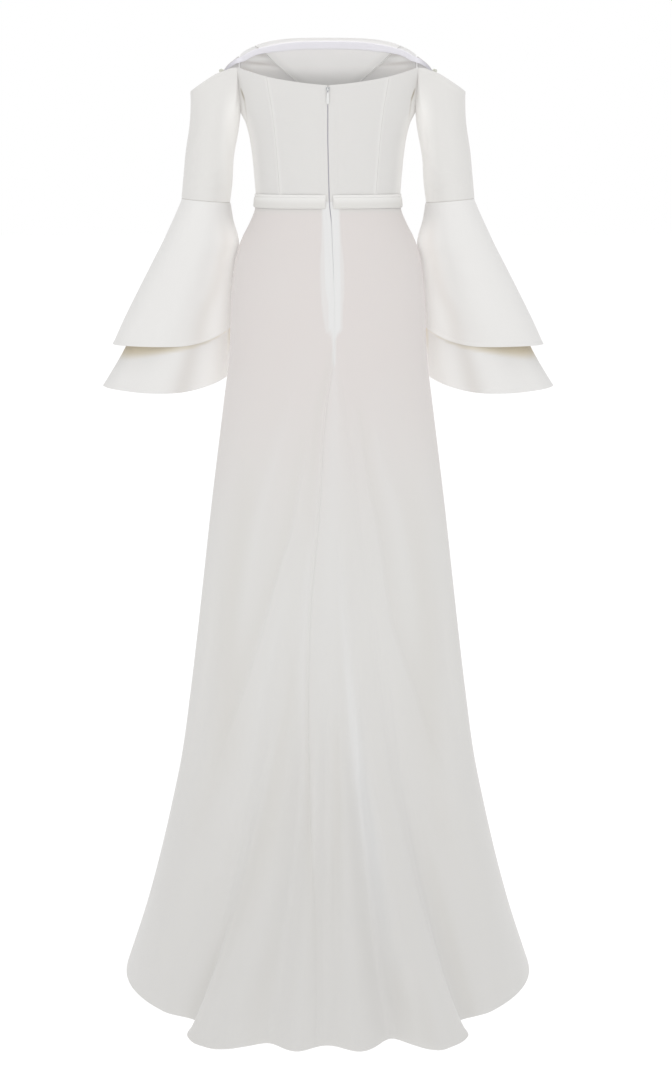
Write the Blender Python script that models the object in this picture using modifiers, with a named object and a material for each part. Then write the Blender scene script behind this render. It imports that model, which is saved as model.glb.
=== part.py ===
"""An off-the-shoulder evening gown with two-tier bell sleeves, a waist belt and a small train.

The gown hangs as if worn. Its origin is the middle of the waist. +Z is up, the back of the gown
faces +Y, and the wearer's left is +X. Lengths are in metres, angles in radians. An angle round the
body starts at 0 at the centre back and grows towards the wearer's left: 90 degrees is the left side
and 180 degrees the centre front.
"""

import math
from collections import namedtuple

import bmesh
import bpy
from mathutils import Matrix, Vector

# Cloth and seams
CLOTH_WALL = 0.0015
FLOUNCE_WALL = 0.0012
SEAM_GAP = 0.0003
QUARTER = math.pi / 2

# Heights above the waist
UNDERARM_HEIGHT = 0.149
BACK_ARMHOLE_TOP = 0.2190
FRONT_ARMHOLE_TOP = 0.2425
ELBOW_HEIGHT = 0.0
HEM_HEIGHT = -1.24
ZIP_END = -0.218

# Places across the body where the armholes end at the neckline, and how much of a side panel's
# outer edge runs along the armhole
BACK_ARMHOLE_ACROSS = 0.149
FRONT_ARMHOLE_ACROSS = 0.150
ARMHOLE_SHARE = 0.4

# Neckline at the centre
BACK_NECK_HEIGHT = 0.1892
FRONT_NECK_HEIGHT = 0.2728
SIDE_NECK_CROWN = 0.0010
FRONT_NECK_POWER = 3
BACK_NECK_CROWN = -0.0015

# Waist belt
BELT_HEIGHT = 0.023
BELT_THICKNESS = 0.0024
BELT_CROWN = 0.0012
BELT_END_GAP = 0.006
BELT_CLEARANCE = 0.0009

# Zip
ZIP_SLIT = 0.0022
TRAIN_SEAM_GAP = 0.0007
TRAIN_TOP = -0.880
TRAIN_BLEND = 0.080
SLIT_TAPER = 0.030
TAPE_WIDTH = 0.030
TAPE_WALL = 0.0010
TAPE_CLEARANCE = 0.0005
TAPE_TOP_DROP = 0.003
TAPE_TAIL = 0.004
SLIDER_HEIGHT = 0.1828
SLIDER_SIZE = (0.0064, 0.0017, 0.0060)
BAIL_BAR = 0.00080
BAIL_WINDOW = 0.0015
BAIL_LENGTH = 0.0044
BAIL_WIDTH = 0.0012
BAIL_ROOT = 0.0004
PULL_THICKNESS = 0.0008
PULL_WIDTH = 0.0050
PULL_LENGTH = 0.0243
PULL_WINDOW = 0.0055

# Neckline tape
NECK_TAPE_WALL = 0.0010
NECK_TAPE_REACH = 0.176
NECK_TAPE_CLEARANCE = 0.0009
NECK_TAPE_ARMHOLE_CLEARANCE = 0.0035
ARMHOLE_LEAN = 0.2

# Shoulder buttons
BUTTON_ACROSS = 0.1795
BUTTON_HALF_WIDTH = 0.0044
BUTTON_HALF_HEIGHT = 0.0038
BUTTON_ASIDE = 0.0010
BUTTON_IN_FRONT = 0.0034
BUTTON_RISE = 0.0036

# Outline of the gown at each height: half of its width, how far it reaches back and forward of the
# origin, where along Y it is widest, and how square it is (2 is an ellipse).
Level = namedtuple("Level", "height half_width back front widest square")
LEVELS = (
    Level(0.285, 0.1840, 0.0980, 0.116, 0.000, 2.0),
    Level(0.246, 0.1790, 0.0980, 0.127, 0.000, 2.0),
    Level(0.222, 0.1720, 0.0990, 0.133, 0.000, 2.0),
    Level(0.190, 0.1600, 0.1000, 0.137, 0.000, 2.0),
    Level(0.165, 0.1505, 0.1010, 0.138, 0.000, 2.0),
    Level(0.149, 0.1465, 0.1015, 0.137, 0.000, 2.0),
    Level(0.127, 0.1362, 0.1010, 0.132, 0.000, 2.0),
    Level(0.100, 0.1298, 0.0990, 0.124, 0.000, 2.0),
    Level(0.068, 0.1255, 0.0950, 0.112, 0.000, 2.0),
    Level(0.034, 0.1225, 0.0905, 0.100, 0.000, 2.0),
    Level(0.000, 0.1205, 0.0880, 0.092, 0.000, 2.0),
    Level(-0.013, 0.1225, 0.0895, 0.093, 0.000, 2.0),
    Level(-0.034, 0.1305, 0.0960, 0.096, 0.000, 2.0),
    Level(-0.067, 0.1470, 0.1060, 0.100, 0.000, 2.0),
    Level(-0.102, 0.1570, 0.1165, 0.104, 0.005, 2.0),
    Level(-0.166, 0.1634, 0.1270, 0.106, 0.015, 2.0),
    Level(-0.250, 0.1662, 0.1270, 0.107, 0.020, 2.0),
    Level(-0.333, 0.1756, 0.1250, 0.109, 0.030, 2.0),
    Level(-0.500, 0.1960, 0.1330, 0.114, 0.055, 2.0),
    Level(-0.667, 0.2145, 0.1580, 0.124, 0.080, 2.0),
    Level(-0.830, 0.2326, 0.2120, 0.146, 0.110, 2.0),
    Level(-0.914, 0.2430, 0.2580, 0.160, 0.130, 2.0),
    Level(-0.994, 0.2580, 0.3200, 0.178, 0.150, 2.05),
    Level(-1.073, 0.2750, 0.4050, 0.200, 0.175, 2.1),
    Level(-1.152, 0.2950, 0.5250, 0.226, 0.190, 2.15),
    Level(-1.240, 0.3222, 0.6900, 0.260, 0.200, 2.2),
)

# Waves of the hem: at an angle round the body, how far the cloth stands out of the plain outline.
Wave = namedtuple("Wave", "degrees out")
HEM_WAVES = (
    Wave(-180, 0.000),
    Wave(-150, 0.006),
    Wave(-122, -0.006),
    Wave(-96, 0.002),
    Wave(-75, 0.0135),
    Wave(-51, -0.002),
    Wave(-42.5, -0.020),
    Wave(-34, 0.033),
    Wave(-28, 0.049),
    Wave(-24.5, 0.053),
    Wave(-22, 0.040),
    Wave(-17.5, -0.028),
    Wave(-7, 0.014),
    Wave(0, -0.016),
    Wave(6.5, 0.013),
    Wave(14.5, -0.012),
    Wave(19.1, 0.017),
    Wave(21.6, 0.036),
    Wave(25, 0.0475),
    Wave(29, 0.046),
    Wave(34, 0.031),
    Wave(42.5, -0.022),
    Wave(51, -0.002),
    Wave(74, 0.0135),
    Wave(96, 0.003),
    Wave(122, -0.006),
    Wave(150, 0.006),
    Wave(180, 0.000),
)
WAVES_START = -0.70
WAVES_GATHER = math.radians(20)
WAVES_GATHER_POWER = 0.7
WAVES_POWER = 1.4

# Cross lines of the panels: how many on the bodice, and their heights on the skirt
BODICE_ROWS = 10
CLOSER_AT_ENDS = 0.40
SKIRT_ROWS = (
    0.0, -0.009, -0.020, -0.040, -0.070, -0.110, -0.170, -0.250, -0.370,
    -0.510, -0.660, -0.790, -0.900, -0.990, -1.070, -1.145, -1.200, HEM_HEIGHT,
)

BACK_COLUMNS = 34
FRONT_COLUMNS = 24

# Seams: how far from the middle they run at each height
Seam = namedtuple("Seam", "height across")
BACK_SEAM = (
    Seam(0.2035, 0.1005),
    Seam(0.1310, 0.0890),
    Seam(0.0000, 0.0780),
)
FRONT_SEAM = (
    Seam(0.2580, 0.1250),
    Seam(0.2480, 0.1100),
    Seam(0.2380, 0.0995),
    Seam(0.2280, 0.0890),
    Seam(0.2150, 0.0738),
    Seam(0.2025, 0.0575),
    Seam(0.1900, 0.0480),
    Seam(0.1600, 0.0440),
    Seam(0.0000, 0.0400),
)
# How far below the front neckline the tape starts, and its width, from the middle outwards
TapeLine = namedtuple("TapeLine", "across drop width")
NECK_TAPE_LINES = (
    TapeLine(0.0000, 0.0060, 0.0125),
    TapeLine(0.0800, 0.0062, 0.0122),
    TapeLine(0.1000, 0.0064, 0.0105),
    TapeLine(0.1250, 0.0055, 0.0092),
    TapeLine(0.1500, 0.0026, 0.0085),
    TapeLine(0.1760, 0.0012, 0.0055),
)
CENTRE_BACK = (
    Seam(0.1000, 0.0000),
    Seam(0.0000, -0.0026),
    Seam(-0.0360, -0.0060),
    Seam(-0.2100, -0.0115),
    Seam(-0.2640, -0.0092),
    Seam(-0.3180, -0.0010),
    Seam(-0.3880, 0.0062),
    Seam(-0.4760, 0.0113),
    Seam(-0.5480, 0.0165),
    Seam(-0.6700, 0.0278),
    Seam(-0.8240, 0.0322),
    Seam(-0.9580, 0.0290),
    Seam(-1.0800, 0.0210),
    Seam(-1.1500, 0.0180),
    Seam(-1.2400, 0.0170),
)

# Free edge of a sleeve, from the armhole out to the corner: its height behind and in front
Rim = namedtuple("Rim", "across back front")
SLEEVE_RIM = (
    Rim(0.1495, BACK_ARMHOLE_TOP, FRONT_ARMHOLE_TOP),
    Rim(0.1605, 0.2178, 0.2340),
    Rim(0.1692, 0.2145, 0.2270),
    Rim(0.1757, 0.2122, 0.2190),
    Rim(0.1810, 0.2105, 0.2105),
    Rim(0.2037, 0.1972, 0.1940),
    Rim(0.2292, 0.1802, 0.1802),
)

RIM_ROUND = 2.6

# Sleeve: the share of the way round the tube that lies along the armhole on each side, the angle of
# the tube that takes up, the share of its length that turns from the rim to the tube, and how much
# the elbow seam slopes
ARMHOLE_TURN = 4 / 24
ARMHOLE_ANGLE = math.radians(40)
RIM_BLEND = 0.6
ELBOW_SLOPE = 0.0034

# Tubes of the arm: the inner and outer edge as seen from behind, the middle and half of the depth
Ring = namedtuple("Ring", "height inner outer middle half_depth")
SLEEVE_RINGS = (
    Ring(0.0000, 0.1646, 0.2470, -0.012, 0.0500),
    Ring(0.0345, 0.1604, 0.2436, -0.011, 0.0510),
    Ring(0.1017, 0.1580, 0.2369, -0.010, 0.0530),
    Ring(0.1352, 0.1562, 0.2330, -0.009, 0.0550),
    Ring(0.1820, 0.1490, 0.2295, -0.008, 0.0570),
)
UPPER_FLOUNCE_RINGS = (
    Ring(-0.2448, 0.1600, 0.3690, -0.056, 0.0760),
    Ring(-0.2000, 0.1585, 0.3480, -0.050, 0.0720),
    Ring(-0.1570, 0.1570, 0.3260, -0.044, 0.0670),
    Ring(-0.1000, 0.1550, 0.2960, -0.031, 0.0610),
    Ring(-0.0730, 0.1503, 0.2815, -0.023, 0.0575),
    Ring(-0.0300, 0.1602, 0.2605, -0.015, 0.0530),
    Ring(0.0000, 0.1646, 0.2470, -0.012, 0.0500),
)
LOWER_FLOUNCE_RINGS = (
    Ring(-0.3240, 0.1690, 0.3915, -0.062, 0.0780),
    Ring(-0.2450, 0.1660, 0.3450, -0.056, 0.0690),
    Ring(-0.1570, 0.1615, 0.3080, -0.043, 0.0600),
    Ring(-0.0730, 0.1562, 0.2730, -0.023, 0.0530),
    Ring(-0.0300, 0.1642, 0.2555, -0.015, 0.0500),
    Ring(0.0000, 0.1670, 0.2449, -0.012, 0.0479),
)

# How much higher a flounce's hem is at its side towards the body and at its outer side, and how
# quickly the rise fades towards the middle of the hem
Rise = namedtuple("Rise", "inner outer")
UPPER_HEM_RISE = Rise(0.037, 0.0)
LOWER_HEM_RISE = Rise(0.0275, 0.0075)
RISE_POWER = 2.4

# Soft folds of a flounce: the angle round the arm at the elbow and at the hem, and their size
Fold = namedtuple("Fold", "top_degrees hem_degrees width_degrees out")
UPPER_FOLDS = (
    Fold(44, 70, 16, 0.0045),
    Fold(70, 98, 14, -0.0032),
    Fold(120, 138, 18, 0.0035),
    Fold(215, 225, 20, 0.0040),
    Fold(262, 268, 18, -0.0040),
    Fold(300, 310, 18, 0.0040),
)
LOWER_FOLDS = (
    Fold(50, 62, 16, -0.0035),
    Fold(80, 92, 18, 0.0030),
    Fold(120, 126, 16, -0.0035),
    Fold(210, 214, 20, -0.0035),
    Fold(250, 254, 18, 0.0040),
    Fold(290, 296, 18, -0.0035),
)

# Bust of the fitted bodice: two soft cups
CUP_ACROSS = 0.080
CUP_HEIGHT = 0.160
CUP_OUT = 0.016
CUP_RADIUS = 0.050

# Colours of the cloth and of the small hard pieces
Finish = namedtuple("Finish", "name colour roughness metallic")
CREPE = Finish("ivory_crepe", (0.84, 0.83, 0.81), 0.75, 0.0)
SKIRT_CREPE = Finish("skirt_crepe", (0.82, 0.80, 0.79), 0.72, 0.0)
LILAC_TAPE = Finish("lilac_tape", (0.80, 0.79, 0.85), 0.60, 0.0)
ZIP_METAL = Finish("zip_lacquer", (0.78, 0.78, 0.78), 0.35, 0.3)
PEARL = Finish("pearl", (0.86, 0.86, 0.82), 0.18, 0.0)


def smooth_value(rows, key, field, at):
    """Read a column of a table at a place between its rows, on a smooth curve with no overshoot."""
    points = sorted((getattr(row, key), getattr(row, field)) for row in rows)
    if at <= points[0][0]:
        return points[0][1]
    if at >= points[-1][0]:
        return points[-1][1]
    steps = [(b[1] - a[1]) / (b[0] - a[0]) for a, b in zip(points, points[1:])]
    index = max(i for i in range(len(steps)) if points[i][0] <= at)
    x0, y0 = points[index]
    x1, y1 = points[index + 1]
    width = x1 - x0
    start = knot_slope(steps, index)
    end = knot_slope(steps, index + 1)
    s = (at - x0) / width
    rise = s * s * (3 - 2 * s)
    start_part = s * (1 - s) * (1 - s) * width * start
    end_part = s * s * (s - 1) * width * end
    return y0 + (y1 - y0) * rise + start_part + end_part


def knot_slope(steps, index):
    """Slope at a row of the table: flat at an extreme, and between its two neighbours elsewhere."""
    if index == 0:
        return steps[0]
    if index == len(steps):
        return steps[-1]
    before = steps[index - 1]
    after = steps[index]
    if before * after <= 0:
        return 0.0
    return 2 * before * after / (before + after)


def soft_step(at, start, end):
    """Rise smoothly from 0 at the start to 1 at the end."""
    s = min(max((at - start) / (end - start), 0.0), 1.0)
    return s * s * (3 - 2 * s)


def between(a, b, share):
    """Value that lies this share of the way from a to b."""
    return a + (b - a) * share


def signed_power(value, power):
    """Power of a value that keeps its sign."""
    return math.copysign(abs(value) ** power, value)


LEVEL_CACHE = {}


def level_at(height):
    """Outline of the gown at a height between the rows of its table."""
    key = round(height, 6)
    if key not in LEVEL_CACHE:
        values = [smooth_value(LEVELS, "height", field, height) for field in Level._fields[1:]]
        LEVEL_CACHE[key] = Level(height, *values)
    return LEVEL_CACHE[key]


def outline_point(angle, height):
    """Plain outline of the gown, with no waves and no cups."""
    level = level_at(height)
    power = 2 / level.square
    x = level.half_width * signed_power(math.sin(angle), power)
    reach = level.back - level.widest
    if math.cos(angle) < 0:
        reach = level.front + level.widest
    y = level.widest + reach * signed_power(math.cos(angle), power)
    return Vector((x, y, height))


def outward(angle, height):
    """Level direction that points out of the plain outline."""
    step = 0.01
    along = outline_point(angle + step, height) - outline_point(angle - step, height)
    return Vector((along.y, -along.x, 0)).normalized() * -1


def wave_out(angle, height):
    """How far the waves of the hem push the skirt out at this angle and height."""
    if height >= WAVES_START:
        return 0.0
    share = (WAVES_START - height) / (WAVES_START - HEM_HEIGHT)
    turn = (angle + math.pi) % (2 * math.pi) - math.pi
    gather = WAVES_GATHER * (1 - share) ** WAVES_GATHER_POWER
    reading = math.degrees(turn + gather * math.sin(2 * turn) * (abs(turn) < QUARTER))
    return smooth_value(HEM_WAVES, "degrees", "out", reading) * share ** WAVES_POWER


def cup_out(point):
    """How far the bust cups push the bodice forward at this point."""
    if point.y > 0:
        return 0.0
    across = (abs(point.x) - CUP_ACROSS) / CUP_RADIUS
    up = (point.z - CUP_HEIGHT) / CUP_RADIUS
    return CUP_OUT * math.exp(-across * across - up * up)


def body_point(angle, height, out=0.0):
    """Point of the gown's outer face, moved out by a distance when one is given."""
    point = outline_point(angle, height)
    push = out + wave_out(angle, height)
    if push:
        point += outward(angle, height) * push
    if height > 0:
        point.y -= cup_out(point)
    return point


def angle_at(across, height, in_front=False):
    """Angle at which the outline lies this far to the wearer's left of the middle."""
    level = level_at(height)
    share = min(abs(across) / level.half_width, 1.0)
    angle = math.asin(share ** (level.square / 2))
    if in_front:
        angle = math.pi - angle
    return math.copysign(angle, across)


def shifted(angle, height, distance):
    """Angle that lies a distance further round the gown, measured along the cloth."""
    step = 0.02
    length = (body_point(angle + step, height) - body_point(angle - step, height)).length
    return angle + distance * 2 * step / length


def new_object(name, mesh, finish):
    """Put a mesh into the scene as a named object with its material."""
    material = bpy.data.materials.get(finish.name) or new_material(finish)
    mesh.materials.append(material)
    made = bpy.data.objects.new(name, mesh)
    GOWN.objects.link(made)
    return made


def new_material(finish):
    """Make the material of a finish."""
    material = bpy.data.materials.new(finish.name)
    material.use_nodes = True
    shader = material.node_tree.nodes["Principled BSDF"]
    shader.inputs["Base Color"].default_value = (*finish.colour, 1)
    shader.inputs["Roughness"].default_value = finish.roughness
    shader.inputs["Metallic"].default_value = finish.metallic
    return material


def cloth(name, columns, rows, place, wall, finish, tube=False):
    """Make a cloth piece from a grid whose points go where place(u, v) says.

    u runs round the body towards larger angles, and v runs down from the upper edge. The grid is
    the outer face, and the wall grows inwards from it.
    """
    grid = bmesh.new()
    bmesh.ops.create_grid(grid, x_segments=columns, y_segments=rows, size=0.5)
    for vertex in grid.verts:
        vertex.co = place(vertex.co.x + 0.5, vertex.co.y + 0.5)
    if tube:
        bmesh.ops.remove_doubles(grid, verts=grid.verts, dist=0.00001)
    mesh = bpy.data.meshes.new(name)
    grid.to_mesh(mesh)
    grid.free()
    mesh.shade_smooth()
    made = new_object(name, mesh, finish)
    solidify = made.modifiers.new("wall", "SOLIDIFY")
    solidify.thickness = wall
    solidify.offset = -1
    solidify.use_even_offset = False
    return made


def side_name(name, side):
    """Name of a piece on the wearer's left (side 1) or right (side -1)."""
    return name + ("_left" if side > 0 else "_right")


def panel_between(first_edge, last_edge, crown=0.0, power=2):
    """Make place(u, v) for a panel from its first edge to its last, which lies at larger angles.

    Each edge is a function of v that gives an angle and a height. The upper edge may rise in a
    crown between them, which is flatter at its middle for a higher power.
    """

    def place(u, v):
        first_angle, first_height = first_edge(v)
        last_angle, last_height = last_edge(v)
        rise = crown * (1 - abs(2 * u - 1) ** power) * (1 - v)
        height = between(first_height, last_height, u) + rise
        return body_point(between(first_angle, last_angle, u), height)

    return place


def bodice_height(top, bottom, v):
    """Height of a cross line of the bodice. The lines lie closer together near both ends."""
    share = v - CLOSER_AT_ENDS * math.sin(2 * math.pi * v) / (2 * math.pi)
    return between(top, bottom, share)


def seam_edge(seam, top, bottom, side, gap_side, in_front):
    """Edge of a panel along a seam: gap_side says on which side of the seam the panel lies."""

    def edge(v):
        height = bodice_height(top, bottom, v)
        across = smooth_value(seam, "height", "across", height) * side
        angle = angle_at(across, height, in_front)
        return shifted(angle, height, gap_side * SEAM_GAP / 2), height

    return edge


def armhole(share, in_front):
    """Angle and height on the left armhole, from the underarm (0) up to the neckline (1)."""
    top = FRONT_ARMHOLE_TOP if in_front else BACK_ARMHOLE_TOP
    across = FRONT_ARMHOLE_ACROSS if in_front else BACK_ARMHOLE_ACROSS
    height = between(UNDERARM_HEIGHT, top, share * share)
    top_angle = angle_at(across, top, in_front)
    return between(QUARTER, top_angle, share), height


def side_edge(side, in_front, bottom):
    """Outer edge of a side panel: down the armhole, then down the side seam."""

    def edge(v):
        gap = -side * SEAM_GAP / 2
        if in_front:
            gap = -gap
        if v < ARMHOLE_SHARE:
            angle, height = armhole(1 - v / ARMHOLE_SHARE, in_front)
        else:
            angle = QUARTER
            share = (v - ARMHOLE_SHARE) / (1 - ARMHOLE_SHARE)
            height = bodice_height(UNDERARM_HEIGHT, bottom, share)
        return shifted(side * angle, height, gap), height

    return edge


def zip_side(side, height):
    """Angle of a back panel's edge along the zip slit, or along the centre seam below it."""
    across = smooth_value(CENTRE_BACK, "height", "across", height)
    seam = between(TRAIN_SEAM_GAP, SEAM_GAP, soft_step(height, TRAIN_TOP - TRAIN_BLEND, TRAIN_TOP))
    slit = between(seam, ZIP_SLIT, soft_step(height, ZIP_END - SLIT_TAPER, ZIP_END))
    return shifted(angle_at(across, height), height, side * slit / 2)


def make_bodice():
    """Make the seven panels of the bodice."""
    bottom = SEAM_GAP / 2
    back_top = BACK_SEAM[0].height
    front_top = FRONT_SEAM[0].height
    for side in (1, -1):

        def centre(v, side=side):
            height = bodice_height(BACK_NECK_HEIGHT, bottom, v)
            return zip_side(side, height), height

        seam = seam_edge(BACK_SEAM, back_top, bottom, side, -side, False)
        edges = (centre, seam) if side > 0 else (seam, centre)
        name = side_name("bodice_back_centre", side)
        cloth(name, 7, BODICE_ROWS, panel_between(*edges, crown=BACK_NECK_CROWN), CLOTH_WALL, CREPE)

        seam = seam_edge(BACK_SEAM, back_top, bottom, side, side, False)
        outer = side_edge(side, False, bottom)
        edges = (seam, outer) if side > 0 else (outer, seam)
        name = side_name("bodice_back_side", side)
        cloth(name, 7, BODICE_ROWS, panel_between(*edges), CLOTH_WALL, CREPE)

        seam = seam_edge(FRONT_SEAM, front_top, bottom, side, -side, True)
        outer = side_edge(side, True, bottom)
        edges = (outer, seam) if side > 0 else (seam, outer)
        name = side_name("bodice_front_side", side)
        cloth(name, 8, BODICE_ROWS, panel_between(*edges, crown=SIDE_NECK_CROWN), CLOTH_WALL, CREPE)

    left = seam_edge(FRONT_SEAM, front_top, bottom, 1, 1, True)
    right = seam_edge(FRONT_SEAM, front_top, bottom, -1, -1, True)

    def right_over_the_front(v):
        angle, height = right(v)
        return angle + 2 * math.pi, height

    crown = FRONT_NECK_HEIGHT - front_top
    place = panel_between(left, right_over_the_front, crown=crown, power=FRONT_NECK_POWER)
    cloth("bodice_front_centre", 12, BODICE_ROWS, place, CLOTH_WALL, CREPE)


def skirt_height(v):
    """Height of a cross line of the skirt, where v counts the lines evenly from the waist."""
    place = v * (len(SKIRT_ROWS) - 1)
    index = min(int(place + 1e-6), len(SKIRT_ROWS) - 2)
    height = between(SKIRT_ROWS[index], SKIRT_ROWS[index + 1], place - index)
    return min(height, -SEAM_GAP / 2)


def make_skirt():
    """Make the front panel and the two back panels that end in the train."""
    rows = len(SKIRT_ROWS) - 1

    def side_seam(side, gap_side):
        def edge(v):
            height = skirt_height(v)
            return shifted(side * QUARTER, height, gap_side * SEAM_GAP / 2), height

        return edge

    def centre(side):
        def edge(v):
            height = skirt_height(v)
            return zip_side(side, height), height

        return edge

    place = panel_between(centre(1), side_seam(1, -1))
    cloth("skirt_back_left", BACK_COLUMNS, rows, place, CLOTH_WALL, SKIRT_CREPE)
    place = panel_between(side_seam(-1, 1), centre(-1))
    cloth("skirt_back_right", BACK_COLUMNS, rows, place, CLOTH_WALL, SKIRT_CREPE)

    def right_over_the_front(v):
        angle, height = side_seam(-1, -1)(v)
        return angle + 2 * math.pi, height

    place = panel_between(side_seam(1, 1), right_over_the_front)
    cloth("skirt_front", FRONT_COLUMNS, rows, place, CLOTH_WALL, SKIRT_CREPE)


def make_belt():
    """Make the padded belt, open at the zip."""
    middle = smooth_value(CENTRE_BACK, "height", "across", 0.0)
    start = angle_at(middle + BELT_END_GAP, 0.0)
    end = angle_at(middle - BELT_END_GAP, 0.0) + 2 * math.pi

    def place(u, v):
        height = between(BELT_HEIGHT / 2, -BELT_HEIGHT / 2, v)
        crown = BELT_CROWN * 4 * v * (1 - v)
        return body_point(between(start, end, u), height, BELT_CLEARANCE + BELT_THICKNESS + crown)

    cloth("waist_belt", 44, 2, place, BELT_THICKNESS, CREPE)


def rim_point(across, in_front):
    """Point of the free edge of the left sleeve."""
    corner = SLEEVE_RIM[-1].across
    start = SLEEVE_RIM[0].across
    share = (across - start) / (corner - start)
    round_off = max(1 - share ** RIM_ROUND, 0.0) ** (1 / RIM_ROUND)
    angle, height = armhole(1.0, in_front)
    depth = body_point(angle, height).y
    field = "front" if in_front else "back"
    return Vector((across, depth * round_off, smooth_value(SLEEVE_RIM, "across", field, across)))


def ring_point(rings, angle, height, out=0.0):
    """Point on a tube of the left arm: angle 0 faces the body and 90 degrees faces back."""
    inner = smooth_value(rings, "height", "inner", height)
    outer = smooth_value(rings, "height", "outer", height)
    middle = smooth_value(rings, "height", "middle", height)
    depth = smooth_value(rings, "height", "half_depth", height)
    x = (inner + outer) / 2 - ((outer - inner) / 2 + out) * math.cos(angle)
    y = middle + (depth + out) * math.sin(angle)
    return Vector((x, y, height))


def sleeve_top(u):
    """Point of the upper edge of the left sleeve, and its angle round the arm."""
    in_front = u > 0.5
    turn = 1 - u if in_front else u
    if turn < ARMHOLE_TURN:
        share = turn / ARMHOLE_TURN
        angle, height = armhole(share, in_front)
        point = body_point(angle, height) + Vector((SEAM_GAP, 0, 0))
        ring_angle = ARMHOLE_ANGLE * share
    else:
        share = (turn - ARMHOLE_TURN) / (0.5 - ARMHOLE_TURN)
        sweep = math.sin(share * QUARTER)
        start = FRONT_ARMHOLE_ACROSS if in_front else BACK_ARMHOLE_ACROSS
        across = between(start + SEAM_GAP, SLEEVE_RIM[-1].across, sweep)
        point = rim_point(max(across, SLEEVE_RIM[0].across), in_front)
        point.x = across
        ring_angle = between(ARMHOLE_ANGLE, math.pi, share)
    if in_front:
        ring_angle = 2 * math.pi - ring_angle
    return point, ring_angle


def elbow_height(angle):
    """Height of the elbow seam, which slopes a little towards the body."""
    return ELBOW_HEIGHT - ELBOW_SLOPE * math.cos(angle)


def mirrored(place, side):
    """Turn a place on the left into the same place on this side, with its outer face still out."""
    if side > 0:
        return place

    def other(u, v):
        point = place(1 - u, v)
        point.x = -point.x
        return point

    return other


def make_sleeves():
    """Make the two tubes from the armhole to the elbow."""

    def place(u, v):
        top, angle = sleeve_top(u)
        bottom = elbow_height(angle) + SEAM_GAP / 2
        height = between(top.z, bottom, v)
        ring = ring_point(SLEEVE_RINGS, angle, height)
        share = soft_step(v, 0.0, RIM_BLEND)
        return Vector((between(top.x, ring.x, share), between(top.y, ring.y, share), height))

    for side in (1, -1):
        cloth(side_name("sleeve", side), 24, 7, mirrored(place, side), CLOTH_WALL, CREPE, tube=True)


def fold_out(folds, angle, share):
    """How far the folds of a flounce stand out, at a share of the way down to its hem."""
    total = 0.0
    degrees = math.degrees(angle)
    for fold in folds:
        middle = between(fold.top_degrees, fold.hem_degrees, share)
        distance = (degrees - middle) / fold.width_degrees
        total += fold.out * math.exp(-distance * distance)
    return total * share


def make_flounces():
    """Make the two tiers at each elbow. The lower tier hangs inside the upper one."""
    tiers = (
        ("sleeve_flounce_upper", UPPER_FLOUNCE_RINGS, UPPER_FOLDS, UPPER_HEM_RISE),
        ("sleeve_flounce_lower", LOWER_FLOUNCE_RINGS, LOWER_FOLDS, LOWER_HEM_RISE),
    )
    for name, rings, folds, rise in tiers:

        def place(u, v, rings=rings, folds=folds, rise=rise):
            angle = u * 2 * math.pi
            inner = max(math.cos(angle), 0.0) ** RISE_POWER
            outer = max(-math.cos(angle), 0.0) ** RISE_POWER
            bottom = rings[0].height + rise.inner * inner + rise.outer * outer
            height = between(elbow_height(angle) - SEAM_GAP / 2, bottom, v)
            return ring_point(rings, angle, height, fold_out(folds, angle, v))

        for side in (1, -1):
            made = mirrored(place, side)
            cloth(side_name(name, side), 26, 5, made, FLOUNCE_WALL, CREPE, tube=True)


def neck_edge_point(across, drop):
    """Point of the cloth a little below the front neckline, on the bodice or on the sleeve."""
    if abs(across) > FRONT_ARMHOLE_ACROSS:
        point = rim_point(abs(across), True)
        near_armhole = 1 - soft_step(abs(across), FRONT_ARMHOLE_ACROSS, NECK_TAPE_REACH)
        return Vector((across, point.y + drop * ARMHOLE_LEAN * near_armhole, point.z - drop))
    seam_across = FRONT_SEAM[0].across
    seam_height = FRONT_SEAM[0].height
    if abs(across) < seam_across:
        share = abs(across) / seam_across
        height = between(FRONT_NECK_HEIGHT, seam_height, share ** FRONT_NECK_POWER)
    else:
        share = (abs(across) - seam_across) / (FRONT_ARMHOLE_ACROSS - seam_across)
        height = between(seam_height, FRONT_ARMHOLE_TOP, share) + 4 * SIDE_NECK_CROWN * share * (1 - share)
    return body_point(angle_at(across, height, True), height - drop)


def make_neckline_tape():
    """Make the tape along the inside of the front neckline."""

    def place(u, v):
        across = between(NECK_TAPE_REACH, -NECK_TAPE_REACH, u)
        far = abs(across)
        drop = smooth_value(NECK_TAPE_LINES, "across", "drop", far)
        drop += smooth_value(NECK_TAPE_LINES, "across", "width", far) * v
        step = 0.004
        before = neck_edge_point(min(across + step, NECK_TAPE_REACH), drop)
        after = neck_edge_point(max(across - step, -NECK_TAPE_REACH), drop)
        along = after - before
        inward = Vector((along.y, -along.x, 0)).normalized()
        near_armhole = soft_step(abs(across), FRONT_ARMHOLE_ACROSS - 0.025, FRONT_ARMHOLE_ACROSS)
        inset = CLOTH_WALL + NECK_TAPE_CLEARANCE + NECK_TAPE_ARMHOLE_CLEARANCE * near_armhole
        return neck_edge_point(across, drop) + inward * inset

    cloth("neckline_tape", 56, 1, place, NECK_TAPE_WALL, LILAC_TAPE)


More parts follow.
